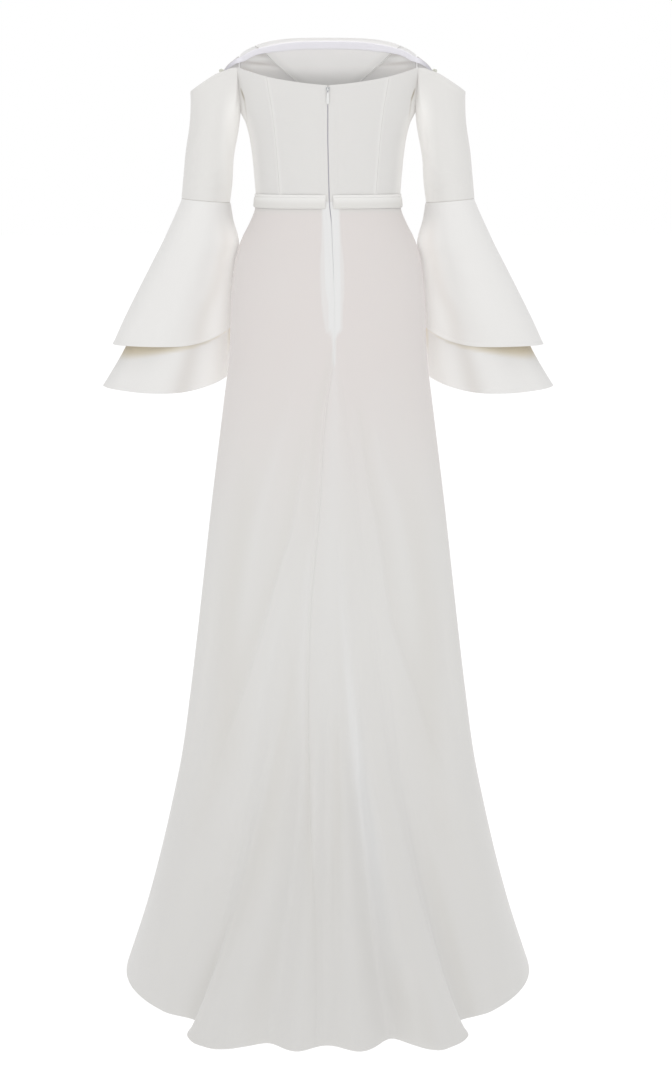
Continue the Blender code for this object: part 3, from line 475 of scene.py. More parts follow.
# Painted highlights along the ridges of the skirt's folds; the last value is how strong each is.
LIGHT_BANDS = (
    band(
        (-0.23, -4.5, 1.2, 1.2, 0), (-0.29, -3.4, 2.2, 2, 0.3), (-0.388, -3.2, 4, 4, 0.34),
        (-0.476, -2.6, 5, 4.6, 0.3), (-0.6, -1.2, 5.5, 5, 0.26), (-0.76, 1, 5, 4.5, 0.22),
        (-0.9, 1.5, 4, 4, 0),
    ),
    band(
        (-0.31, 21, 3, 3, 0), (-0.424, 28.6, 4, 4, 0.16), (-0.532, 36, 4, 4, 0.2),
        (-0.656, 40.5, 4.5, 4.5, 0.16), (-0.76, 43, 5, 5, 0),
    ),
    band(
        (-0.33, -26, 3, 3, 0), (-0.424, -27.4, 4, 3.4, 0.16), (-0.514, -35, 4, 4, 0.2),
        (-0.656, -40.5, 4.5, 4.5, 0.16), (-0.76, -43, 5, 5, 0),
    ),
    band(
        (-0.54, 7, 1, 1, 0), (-0.62, 9.4, 1, 1.6, 0.3), (-0.76, 10.4, 1, 1.8, 0.34),
        (-0.9, 9.8, 1.2, 1.8, 0),
    ),
    band(
        (-0.56, -5, 2.4, 1.2, 0), (-0.706, -6.9, 2.6, 1.4, 0.5), (-0.813, -9.4, 2.8, 1.8, 0.85),
        (-0.904, -11.8, 3, 2.6, 1.15), (-1.01, -14.4, 3, 3.4, 1.2), (-1.079, -15.4, 3, 3.2, 0.9),
        (-1.14, -16.2, 3, 3, 0.35), (-1.19, -16.8, 3, 3, 0),
    ),
    band(
        (-0.6, 17, 3, 3, 0), (-0.684, 21.5, 3, 4, 0.24), (-0.802, 28, 3, 4.5, 0.24),
        (-0.942, 32, 2.4, 4, 0.12), (-1.02, 34, 3, 4, 0),
    ),
)
# Painted shade along the valleys of the skirt's folds and on its flanks; the last value is how
# strong.
DARK_BANDS = (
    band(
        (-0.236, -2.2, 1.2, 2, 0), (-0.27, -0.6, 1.6, 2.6, 0.3), (-0.33, 4, 1.6, 3, 0.4),
        (-0.4, 6.6, 1.8, 3.4, 0.34), (-0.48, 8, 1.8, 3.4, 0.22), (-0.58, 10, 2, 4, 0),
    ),
    band(
        (-0.3, -15, 3, 2, 0), (-0.38, -18.5, 3.6, 1.2, 0.3), (-0.458, -21.5, 4, 1.2, 0.34),
        (-0.548, -26, 4.4, 1.3, 0.34), (-0.688, -30.5, 4.4, 1.4, 0.3), (-0.828, -42, 5, 1.8, 0.18),
        (-0.96, -50, 6, 3, 0),
    ),
    band(
        (-0.36, 12, 1.2, 4, 0), (-0.424, 14.5, 1.2, 4, 0.22), (-0.548, 20, 1.3, 5, 0.34),
        (-0.684, 30.5, 1.4, 5, 0.32), (-0.818, 41, 1.8, 6, 0.2), (-0.94, 50, 3, 7, 0),
    ),
    band(
        (-0.4, 42, 8, 8, 0), (-0.52, 46, 9, 9, 0.45), (-0.66, 49, 10, 10, 0.55),
        (-0.85, 46, 9, 9, 0.5), (-0.97, 44, 8, 8, 0),
    ),
    band(
        (-0.42, -44, 8, 8, 0), (-0.53, -47, 9, 9, 0.35), (-0.66, -49, 10, 10, 0.5),
        (-0.85, -46, 9, 9, 0.45), (-0.96, -44, 8, 8, 0),
    ),
    band(
        (-0.7, 14, 3, 3, 0), (-0.8, 16, 4, 2.4, 0.34), (-0.9, 20, 6, 2, 0.46),
        (-1.01, 24, 7, 2.4, 0.56), (-1.064, 26.5, 6, 2.6, 0.52), (-1.14, 31.5, 4.5, 2.8, 0.4),
        (-1.24, 39, 3, 3, 0.24),
    ),
    band(
        (-0.82, -3.2, 1.4, 1.6, 0), (-0.9, -3.8, 1.8, 2, 0.4), (-0.98, -3.7, 2.2, 2.4, 0.42),
        (-1.06, -2.4, 2.6, 2.6, 0.26), (-1.15, -1, 3, 3, 0),
    ),
    band(
        (-0.7, 9, 0.8, 0.7, 0), (-0.85, 8.2, 1, 1, 0.3), (-0.98, 6.6, 1.3, 1.6, 0.44),
        (-1.06, 4.8, 1.6, 2.2, 0.4), (-1.13, 3.4, 2.2, 3, 0.22), (-1.22, 3, 3, 3, 0),
    ),
    band(
        (-1, -35, 4, 4, 0), (-1.09, -37.6, 3.6, 4, 0.34), (-1.16, -40.2, 3, 4, 0.42),
        (-1.24, -42.4, 2.6, 3.4, 0.36),
    ),
    band((-0.86, 50, 6, 6, 0), (-0.97, 52, 7, 7, 0.26), (-1.06, 55, 7, 7, 0)),
    band((-0.88, -44, 6, 6, 0), (-0.99, -45, 7, 7, 0.26), (-1.08, -49, 7, 7, 0)),
    band((-1.15, -18, 3, 3, 0), (-1.195, -20.2, 2.6, 3.2, 0.34), (-1.24, -20.5, 3, 3.5, 0.1)),
    band((-1.17, -26, 2, 3, 0), (-1.222, -26.6, 2.2, 3, 0.36), (-1.24, -27, 2.2, 3, 0.24)),
    band((-1.11, 15, 3, 3, 0), (-1.18, 17, 3, 3.4, 0.26), (-1.24, 18, 3, 3, 0.1)),
)


def band_sum(bands: Sequence[Columns], angle: Array, height: Array) -> Array:
    """Add up soft bands that run down the skirt.

    Args:
        bands: The bands.
        angle: Angles round the body.
        height: Heights.

    Returns:
        The sum of what each band gives at each place.
    """
    degrees = np.degrees(angle)
    total = np.zeros_like(degrees)
    for columns in bands:
        middle, before, after, out = (column(height) for column in columns.values())
        away = (degrees - middle + 180) % 360 - 180
        total += out * bell(away, np.where(away < 0, before, after))
    return total


def soft_step(at: Array | float, start: float, end: float) -> Array:
    """Rise smoothly from 0 at the start to 1 at the end."""
    s = np.clip((at - start) / (end - start), 0.0, 1.0)
    return s * s * (3 - 2 * s)


def bell(distance: Array, width: Array | float) -> Array:
    """Fall smoothly from 1 at no distance towards 0 beyond the width."""
    return np.exp(-((distance / width) ** 2))


def between(a: Array | float, b: Array | float, share: Array | float) -> Array | float:
    """Value that lies this share of the way from a to b."""
    return a + (b - a) * share


def signed_power(value: Array, power: Array | float) -> Array:
    """Power of a value that keeps its sign."""
    return np.sign(value) * np.abs(value) ** power


def lengths(points: Array) -> Array:
    """Length of each vector in an array of them."""
    return np.linalg.norm(points, axis=-1)


@dataclass
class GownForm:
    """The plain form of the gown that every panel lies on."""

    waves_start: float = -0.70
    waves_gather: float = math.radians(20)
    waves_gather_power: float = 0.7
    waves_power: float = 1.4
    hem: float = -1.24
    cup_across: float = 0.080
    cup_height: float = 0.160
    cup_out: float = 0.016
    cup_radius: float = 0.050
    angle_step: float = 0.01
    shift_step: float = 0.02

    def outline(self, angle: Array, height: Array) -> Array:
        """Find points of the plain outline, with no waves and no cups.

        Args:
            angle: Angles round the body.
            height: Heights over the waist.

        Returns:
            Points, one for each pair.
        """
        level = {name: column(height) for name, column in LEVELS.items()}
        power = 2 / level["square"]
        x = level["half_width"] * signed_power(np.sin(angle), power)
        behind = np.cos(angle) >= 0
        reach = np.where(behind, level["back"] - level["widest"], level["front"] + level["widest"])
        y = level["widest"] + reach * signed_power(np.cos(angle), power)
        return np.stack([x, y, height + np.zeros_like(x)], axis=-1)

    def outward(self, angle: Array, height: Array) -> Array:
        """Level directions that point out of the plain outline."""
        step = self.angle_step
        along = self.outline(angle + step, height) - self.outline(angle - step, height)
        out = np.stack([-along[..., 1], along[..., 0], np.zeros_like(along[..., 0])], axis=-1)
        return out / lengths(out)[..., None]

    def wave_out(self, angle: Array, height: Array) -> Array:
        """How far the waves of the hem push the skirt out."""
        share = np.clip((self.waves_start - height) / (self.waves_start - self.hem), 0.0, 1.0)
        turn = (angle + math.pi) % FULL_TURN - math.pi
        gather = self.waves_gather * (1 - share) ** self.waves_gather_power
        reading = turn + gather * np.sin(2 * turn) * (np.abs(turn) < QUARTER)
        return HEM_WAVES(np.degrees(reading)) * share ** self.waves_power

    def cups(self, points: Array) -> Array:
        """How far the bust cups push the bodice forward at each point."""
        across = (np.abs(points[..., 0]) - self.cup_across) / self.cup_radius
        up = (points[..., 2] - self.cup_height) / self.cup_radius
        in_front = (points[..., 1] <= 0) & (points[..., 2] > 0)
        return self.cup_out * np.exp(-across ** 2 - up ** 2) * in_front

    def point(self, angle: Array, height: Array, out: Array | float = 0.0) -> Array:
        """Find points of the gown's outer face.

        Args:
            angle: Angles round the body.
            height: Heights over the waist.
            out: How far outside the face the points lie.

        Returns:
            Points, one for each pair.
        """
        points = self.outline(angle, height)
        push = out + self.wave_out(angle, height)
        points = points + self.outward(angle, height) * np.asarray(push)[..., None]
        points[..., 1] -= self.cups(points)
        return points

    def angle_at(self, across: Array, height: Array, in_front: bool = False) -> Array:
        """Angle at which the outline lies this far to the wearer's left of the middle."""
        share = np.minimum(np.abs(across) / LEVELS["half_width"](height), 1.0)
        angle = np.arcsin(share ** (LEVELS["square"](height) / 2))
        if in_front:
            angle = math.pi - angle
        return np.copysign(angle, across)

    def shifted(self, angle: Array, height: Array, distance: Array | float) -> Array:
        """Angle that lies a distance further round the gown, measured along the cloth."""
        step = self.shift_step
        length = lengths(self.point(angle + step, height) - self.point(angle - step, height))
        return angle + distance * 2 * step / length


FORM = GownForm()


class Wire:
    """A socket of a shader whose arithmetic adds Math nodes."""

    def __init__(self, shader: "Shader", socket: Socket) -> None:
        """Wrap an output socket that gives a number."""
        self.shader = shader
        self.socket = socket

    def math(self, operation: str, *values: "Value") -> "Wire":
        """Add a Math node to this and the other values."""
        return self.shader.math(operation, self, *values)

    def __add__(self, other: "Value") -> "Wire":
        """Sum of both."""
        return self.math("ADD", other)

    def __sub__(self, other: "Value") -> "Wire":
        """Difference of both."""
        return self.math("SUBTRACT", other)

    def __rsub__(self, other: float) -> "Wire":
        """Difference of a number and this."""
        return self.shader.math("SUBTRACT", other, self)

    def __mul__(self, other: "Value") -> "Wire":
        """Product of both."""
        return self.math("MULTIPLY", other)

    __radd__ = __add__
    __rmul__ = __mul__

    def sine(self) -> "Wire":
        """Sine of this."""
        return self.math("SINE")

    def clamped(self) -> "Wire":
        """This, held between 0 and 1."""
        return self.math("MINIMUM", 1.0).math("MAXIMUM", 0.0)


Value = Wire | float
Colour = Triple
BLACK = (0.0, 0.0, 0.0)


class Shader:
    """A material and its nodes."""

    def __init__(self, name: str) -> None:
        """Start a material with an empty Principled shader."""
        self.material = bpy.data.materials.new(name)
        self.material.use_nodes = True
        self.nodes = self.material.node_tree.nodes
        self.links = self.material.node_tree.links
        self.surface = self.nodes["Principled BSDF"]

    def node(
        self, kind: str, settings: dict[str, object], inputs: dict[object, object]
    ) -> bpy.types.Node:
        """Add a node.

        Args:
            kind: The node's type.
            settings: Values of its own settings, set before its sockets.
            inputs: Values or links of its sockets, by their name or number.

        Returns:
            The node.
        """
        made = self.nodes.new(kind)
        for name, value in settings.items():
            setattr(made, name, value)
        for key, value in inputs.items():
            self.join(made.inputs[key], value)
        return made

    def join(self, socket: Socket, value: object) -> None:
        """Give a socket its value, or link it to where the value comes from."""
        if isinstance(value, Wire):
            self.links.new(value.socket, socket)
        elif isinstance(value, bpy.types.NodeSocket):
            self.links.new(value, socket)
        elif isinstance(value, tuple) and len(value) == 3 and socket.type == "RGBA":
            socket.default_value = (*value, 1.0)
        else:
            socket.default_value = value

    def math(self, operation: str, *values: Value) -> Wire:
        """Add a Math node to one value or more."""
        made = self.node("ShaderNodeMath", {"operation": operation}, dict(enumerate(values)))
        return Wire(self, made.outputs[0])

    def attribute(self, name: str) -> Wire:
        """Read a number that the cloth carries at each point."""
        made = self.node("ShaderNodeAttribute", {"attribute_name": name}, {})
        return Wire(self, made.outputs["Fac"])

    def cloth_place(self, scale: Triple = (1.0, 1.0, 1.0)) -> Socket:
        """Read the place along the cloth, in metres times a scale."""
        place = self.node("ShaderNodeTexCoord", {}, {})
        scaled = self.node("ShaderNodeMapping", {}, {"Vector": place.outputs["UV"], "Scale": scale})
        return scaled.outputs["Vector"]

    def object_place(self) -> Socket:
        """Read the place in the gown's own frame."""
        return self.node("ShaderNodeTexCoord", {}, {}).outputs["Object"]

    def noise(self, place: Socket, scale: float, detail: float = 2.0) -> Wire:
        """Read soft random mottling, from 0 to 1."""
        inputs = {"Vector": place, "Scale": scale, "Detail": detail}
        return Wire(self, self.node("ShaderNodeTexNoise", {}, inputs).outputs["Fac"])

    def parts(self, place: Socket) -> tuple[Wire, Wire, Wire]:
        """Split a place into its three coordinates."""
        made = self.node("ShaderNodeSeparateXYZ", {}, {"Vector": place})
        return tuple(Wire(self, socket) for socket in made.outputs)

    def mix(self, share: Value, first: object, second: object) -> Socket:
        """Mix two colours."""
        settings = {"data_type": "RGBA", "clamp_factor": True}
        inputs = {"Factor": share, 6: first, 7: second}
        return self.node("ShaderNodeMix", settings, inputs).outputs[2]

    def bump(self, height: Wire, distance: float) -> Socket:
        """Turn a height from 0 to 1 into a tilt of the surface. A height of 1 is the distance."""
        inputs = {"Height": height, "Distance": distance, "Strength": 1.0}
        return self.node("ShaderNodeBump", {}, inputs).outputs["Normal"]

    def finish(self, **sockets: object) -> bpy.types.Material:
        """Set the surface's sockets, whose names have _ for spaces, and give the material."""
        for name, value in sockets.items():
            self.join(self.surface.inputs[name.replace("_", " ").title()], value)
        return self.material


class Tint(NamedTuple):
    """A colour that a cloth takes where it carries a number of that name."""

    attribute: str
    colour: Colour
    mottle: float = 0.0


@dataclass(frozen=True)
class Crepe:
    """Crepe cloth: a fine pebbled weave with a soft nap.

    It gives off a painted glow: all over, or by the number that its glow mask names.
    """

    name: str
    colour: Colour
    shade: Colour
    glow: float = 0.0
    lit: str = ""
    tints: tuple[Tint, ...] = ()
    grain: Triple = (9.0, 9.0, 1.0)
    thread: float = 0.00055
    pebble: float = 0.0011
    relief: float = 0.00012
    roughness: float = 0.82
    sheen: float = 0.25
    sheen_roughness: float = 0.5
    streak_detail: float = 3.0
    mottle_scale: float = 16.0
    pebble_share: float = 0.7
    thread_share: float = 0.15

    def dress(self) -> bpy.types.Material:
        """Make the material."""
        shader = Shader(self.name)
        place = shader.cloth_place()
        streaks = shader.noise(shader.cloth_place(self.grain), 1.0, self.streak_detail)
        base = shader.mix(streaks, self.colour, self.shade)
        for tint in self.tints:
            share = shader.attribute(tint.attribute)
            if tint.mottle:
                mottle = shader.noise(place, self.mottle_scale) * tint.mottle
                share = (share * (mottle + (1 - tint.mottle / 2))).clamped()
            base = shader.mix(share, base, tint.colour)
        # Painted glow: the cloth gives off its own colour as light, all over or where the mask
        # says.
        through = shader.mix(shader.attribute(self.lit), BLACK, base) if self.lit else base
        light = {"emission_color": through, "emission_strength": self.glow} if self.glow else {}
        return shader.finish(
            base_color=base, normal=self.weave(shader, place), roughness=self.roughness,
            sheen_weight=self.sheen, sheen_roughness=self.sheen_roughness, **light,
        )

    def weave(self, shader: Shader, place: Socket) -> Socket:
        """Make the tilt of the weave: threads both ways under uneven pebbles."""
        weft, warp, _ = shader.parts(place)
        across = (weft * (FULL_TURN / self.thread)).sine()
        along = (warp * (FULL_TURN / self.thread)).sine()
        pebbles = shader.noise(place, 1 / self.pebble, 1.0)
        height = pebbles * self.pebble_share + across * along * self.thread_share
        return shader.bump(height + self.thread_share, self.relief)


@dataclass(frozen=True)
class Ribbon(Crepe):
    """Narrow woven tape with fine ribs along it."""

    rib: float = 0.0009

    def weave(self, shader: Shader, place: Socket) -> Socket:
        """Make the tilt of the ribs."""
        _, across, _ = shader.parts(place)
        return shader.bump((across * (FULL_TURN / self.rib)).sine() * 0.5 + 0.5, self.relief)


@dataclass(frozen=True)
class Lacquer:
    """Painted metal with faint wear."""

    name: str
    colour: Colour
    worn: Colour
    roughness: float = 0.28
    metallic: float = 0.15
    coat: float = 0.4
    wear_scale: float = 900.0
    wear_gain: float = 4.0
    wear_start: float = 2.3
    wear_roughness: float = 0.25
    dust_scale: float = 2500.0
    dust_relief: float = 0.00001

    def dress(self) -> bpy.types.Material:
        """Make the material."""
        shader = Shader(self.name)
        place = shader.object_place()
        wear = shader.noise(place, self.wear_scale, 3.0) * self.wear_gain - self.wear_start
        wear = wear.clamped()
        return shader.finish(
            base_color=shader.mix(wear, self.colour, self.worn),
            roughness=wear * self.wear_roughness + self.roughness,
            normal=shader.bump(shader.noise(place, self.dust_scale), self.dust_relief),
            metallic=self.metallic, coat_weight=self.coat,
        )


@dataclass(frozen=True)
class Pearl:
    """Pearly plastic with soft clouds of tint."""

    name: str
    colour: Colour
    tint: Colour
    cloud_scale: float = 260.0
    cloud_roughness: float = 0.12
    roughness: float = 0.16
    coat: float = 0.8
    coat_roughness: float = 0.08

    def dress(self) -> bpy.types.Material:
        """Make the material."""
        shader = Shader(self.name)
        clouds = shader.noise(shader.object_place(), self.cloud_scale)
        return shader.finish(
            base_color=shader.mix(clouds, self.colour, self.tint),
            roughness=clouds * self.cloud_roughness + self.roughness, coat_weight=self.coat,
            coat_roughness=self.coat_roughness,
        )


# Bodice cloth: a painted glow beside the arms and a painted highlight along the back seams.
BODICE_CREPE = Crepe(
    "bodice_crepe", (0.724, 0.714, 0.698), (0.702, 0.692, 0.676), glow=0.16, lit="lit",
    # Painted shade of the small fold at the underarm.
    tints=(Tint("notch", (0.300, 0.250, 0.170)),),
)
# The belt's pale tint is a painted highlight along its upper side.
BELT_CREPE = Crepe(
    "belt_crepe", (0.728, 0.717, 0.694), (0.708, 0.697, 0.674),
    tints=(Tint("pale", (0.815, 0.806, 0.788)),),
)
# Sleeves: a painted glow on the side towards the body.
SLEEVE_CREPE = Crepe(
    "sleeve_crepe", (0.752, 0.741, 0.722), (0.730, 0.719, 0.700), glow=0.20, lit="lit"
)
# Flounces: painted glow towards the body, painted shade in a valley, painted shadow under the tier
# above.
FLOUNCE_CREPE = Crepe(
    "flounce_crepe", (0.807, 0.798, 0.784), (0.788, 0.779, 0.765), glow=0.30, lit="lit",
    tints=(Tint("valley", (0.742, 0.722, 0.700)), Tint("cream", (0.672, 0.605, 0.475), 0.1)),
)
# Inside of the bodice: paler than its outside as painted light, a painted glow, and painted shade
# low down.
INSIDE = Crepe(
    "crepe_inside", (0.885, 0.875, 0.863), (0.865, 0.855, 0.844), glow=0.16, roughness=0.9,
    tints=(Tint("dusk", (0.530, 0.525, 0.512)),),
)
# Skirt: blush and tape tints show what lies under it; the shade tint is painted shade.
SHEER = Crepe(
    "sheer_crepe", (0.730, 0.720, 0.702), (0.700, 0.691, 0.673),
    tints=(
        Tint("blush", (0.712, 0.673, 0.657), 0.5),
        Tint("shade", (0.672, 0.656, 0.625)),
        Tint("tape", (0.768, 0.767, 0.762)),
    ),
    grain=(14.0, 2.2, 1.0), sheen=0.35,
)
# Tapes: a painted glow, with painted shade towards the neckline tape's ends.
LILAC = Ribbon(
    "lilac_tape", (0.880, 0.868, 0.920), (0.820, 0.808, 0.856), glow=0.2, grain=(60.0, 60.0, 1.0),
    relief=0.0001, roughness=0.55, sheen=0.1, tints=(Tint("dusk", (0.560, 0.550, 0.590)),),
)
# Lining: painted glow, painted shade low down and in streaks, painted light along a streak and at
# the top.
LINING = Crepe(
    "front_lining", (0.800, 0.785, 0.770), (0.770, 0.755, 0.738), glow=0.12, roughness=0.9,
    tints=(
        Tint("dusk", (0.560, 0.552, 0.545)), Tint("dark", (0.560, 0.530, 0.505)),
        Tint("light", (0.830, 0.826, 0.812)),
    ),
)
# Inside of the flounces: a faint painted glow.
CREAM_INSIDE = Crepe(
    "flounce_inside", (0.790, 0.750, 0.680), (0.760, 0.715, 0.640), glow=0.05, roughness=0.9
)
COIL = Lacquer("zip_coil", (0.36, 0.35, 0.43), (0.46, 0.45, 0.52), roughness=0.45, metallic=0.0)
GREY_LACQUER = Lacquer(
    "grey_lacquer", (0.46, 0.48, 0.49), (0.22, 0.24, 0.26), roughness=0.35, metallic=0.3
)
WHITE_LACQUER = Lacquer("white_lacquer", (0.80, 0.80, 0.79), (0.42, 0.42, 0.42))
BUTTON_PEARL = Pearl("button_pearl", (0.80, 0.79, 0.72), (0.66, 0.68, 0.60))


Finish = Crepe | Lacquer | Pearl


@cache
def material_of(finish: Finish) -> bpy.types.Material:
    """Make the material of a finish, once."""
    return finish.dress()


PANEL_EDGE_LINES = (0.004, 0.010, 0.020, 0.035)
PANEL_END_LINES = (0.003, 0.008)
FINE_RIM = 0.0002


def spaced(count: int, near_ends: Sequence[float] = ()) -> Array:
    """Spread cross lines evenly over a length, with extra ones close to both ends.

    Args:
        count: How many even steps there are.
        near_ends: Shares of the length at which each end gets an extra line.

    Returns:
        The places of the lines, from 0 to 1.
    """
    even = np.linspace(0.0, 1.0, count + 1)
    extra = np.asarray(near_ends, float)
    return np.unique(np.round(np.concatenate([even, extra, 1 - extra]), 6))


def cloth_of(node: str) -> str:
    """Name of the cloth piece that stands for a node."""
    return f"{node}_cloth"


@dataclass
class Cloth:
    """A piece of cloth on a grid: u runs round the body and v runs down from its upper edge."""

    node: str
    cut: Cut
    u: Array
    v: Array
    place: Place
    wall: float
    outside: Crepe
    inside: Crepe
    slot: Slot = Slot.BODICE
    held: str = "hung"
    hangs_from: tuple[str, ...] = ()
    tube: bool = False
    tints: dict[str, Tinting] = field(default_factory=dict)
    soft_rim: float = 0.0003
    rim_inside: bool = False

    @property
    def name(self) -> str:
        """Name of the piece."""
        return cloth_of(self.node)

    def build(self) -> bpy.types.Object:
        """Make the piece, with its wall inside its outer face.

        Returns:
            The finished mesh object.
        """
        u = self.u[:-1] if self.tube else self.u
        grid_u, grid_v = np.meshgrid(u, self.v)
        points = self.place(grid_u.ravel(), grid_v.ravel()).reshape(len(self.v), len(u), 3)
        cloth_u, cloth_v = self.measured(points)
        mesh = bpy.data.meshes.new(self.name)
        mesh.from_pydata(points.reshape(-1, 3).tolist(), [], self.faces(len(u)).tolist())
        layer = mesh.uv_layers.new(name="cloth")
        corners = self.faces(cloth_u.shape[1]).ravel()
        uv = np.stack([cloth_u.ravel(), cloth_v.ravel()], -1)[corners]
        layer.data.foreach_set("uv", uv.astype(np.float32).ravel())
        for name, tint in self.tints.items():
            attribute = mesh.attributes.new(name, "FLOAT", "POINT")
            attribute.data.foreach_set("value", tint(points.reshape(-1, 3)).astype(np.float32))
        for finish in (self.outside, self.inside):
            mesh.materials.append(material_of(finish))
        mesh.shade_smooth()
        made = bpy.data.objects.new(self.name, mesh)
        bpy.context.scene.collection.objects.link(made)
        self.thicken(made)
        report(made, Body.GOWN, self.slot, self.node)
        return made

    def faces(self, stride: int) -> Array:
        """Find the corners of every face of the grid.

        Args:
            stride: How many points each row has. A tube that has one less is closed by its first.

        Returns:
            Four numbers of points for each face.
        """
        column = np.arange(len(self.u) - 1)
        after = (column + 1) % stride
        row = np.arange(len(self.v) - 1)[:, None] * stride
        below = row + stride
        corners = [row + column, row + after, below + after, below + column]
        return np.stack(corners, -1).reshape(-1, 4)

    def measured(self, points: Array) -> Line:
        """Measure the place of each point along the cloth, for the weave.

        Args:
            points: The grid's points, row by row.

        Returns:
            The distance along each row from its middle, and down each column from its top. A tube
            has one more column, which closes it.
        """
        if self.tube:
            points = np.concatenate([points, points[:, :1]], axis=1)
        along = np.cumsum(lengths(np.diff(points, axis=1)), axis=1)
        along = np.concatenate([np.zeros((len(points), 1)), along], axis=1)
        along -= along[:, along.shape[1] // 2][:, None]
        down = np.cumsum(lengths(np.diff(points, axis=0)), axis=0)
        down = np.concatenate([np.zeros((1, points.shape[1])), down], axis=0)
        return along, -down

    def thicken(self, made: bpy.types.Object) -> None:
        """Grow the wall inwards and soften its rim."""
        wall = made.modifiers.new("wall", "SOLIDIFY")
        wall.thickness = self.wall
        wall.offset = -1
        wall.use_even_offset = False
        wall.material_offset = 1
        wall.material_offset_rim = int(self.rim_inside)
        soft = made.modifiers.new("soft_rim", "BEVEL")
        soft.width = self.soft_rim
        soft.segments = 2
        soft.limit_method = "ANGLE"
        soft.angle_limit = RIM_ANGLE
        apply_modifiers(made)


def apply_modifiers(made: bpy.types.Object) -> None:
    """Apply the modifiers of one object in their order, with no other object selected."""
    for other in bpy.context.selected_objects:
        other.select_set(False)
    made.select_set(True)
    bpy.context.view_layer.objects.active = made
    for modifier in list(made.modifiers):
        bpy.ops.object.modifier_apply(modifier=modifier.name)


def report(made: bpy.types.Object, body: Body, slot: Slot, *nodes: str) -> bpy.types.Object:
    """Attach a piece to the body that it moves with, and hide the solids that it stands for.

    Args:
        made: The piece.
        body: The body that it moves with.
        slot: Not used.
        nodes: The solids that it stands for.

    Returns:
        The piece.
    """
    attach(made, body.value)
    if nodes:
        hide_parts(*nodes)
    LOG.info("%s: %d faces", made.name, len(made.data.polygons))
    return made


def mirrored(place: Place, side: Side, u: Array, v: Array) -> Array:
    """Place on this side, from the place on the left. The outer face is still out."""
    if side is Side.LEFT:
        return place(u, v)
    return place(1 - u, v) * np.array([-1.0, 1.0, 1.0])


def panel_place(
    first: Edge, last: Edge, u: Array, v: Array,
    crown: float = 0.0, out: Relief | None = None, power: float = 2.0,
) -> Array:
    """Find points of a panel between two edges.

    Args:
        first: Angle and height of the first edge for each v.
        last: The same for the last edge, which lies at larger angles.
        u: Shares of the way from the first edge to the last.
        v: Shares of the way down.
        crown: How far the upper edge rises between them.
        out: How far the cloth stands out, from the distances to both edges and the place.
        power: How flat the middle of the crown is.

    Returns:
        The points.
    """
    first_angle, first_height = first(v)
    last_angle, last_height = last(v)
    rise = crown * (1 - np.abs(2 * u - 1) ** power) * (1 - v)
    height = between(first_height, last_height, u) + rise
    angle = between(first_angle, last_angle, u)
    push = 0.0
    if out is not None:
        middle = between(first_angle, last_angle, 0.5)
        width = (last_angle - first_angle) * local_radius(middle, height)
        push = out(u * width, (1 - u) * width, angle, height)
    return FORM.point(angle, height, push)


def local_radius(angle: Array, height: Array) -> Array:
    """Length of cloth for each radian round the body."""
    after, before = (FORM.outline(angle + step, height) for step in (RADIUS_STEP, -RADIUS_STEP))
    return lengths(after - before) / (2 * RADIUS_STEP)


def over_the_front(edge: Edge, v: Array) -> Line:
    """Edge on the right, at angles beyond those of the left, for a panel across the front."""
    angle, height = edge(v)
    return angle + FULL_TURN, height


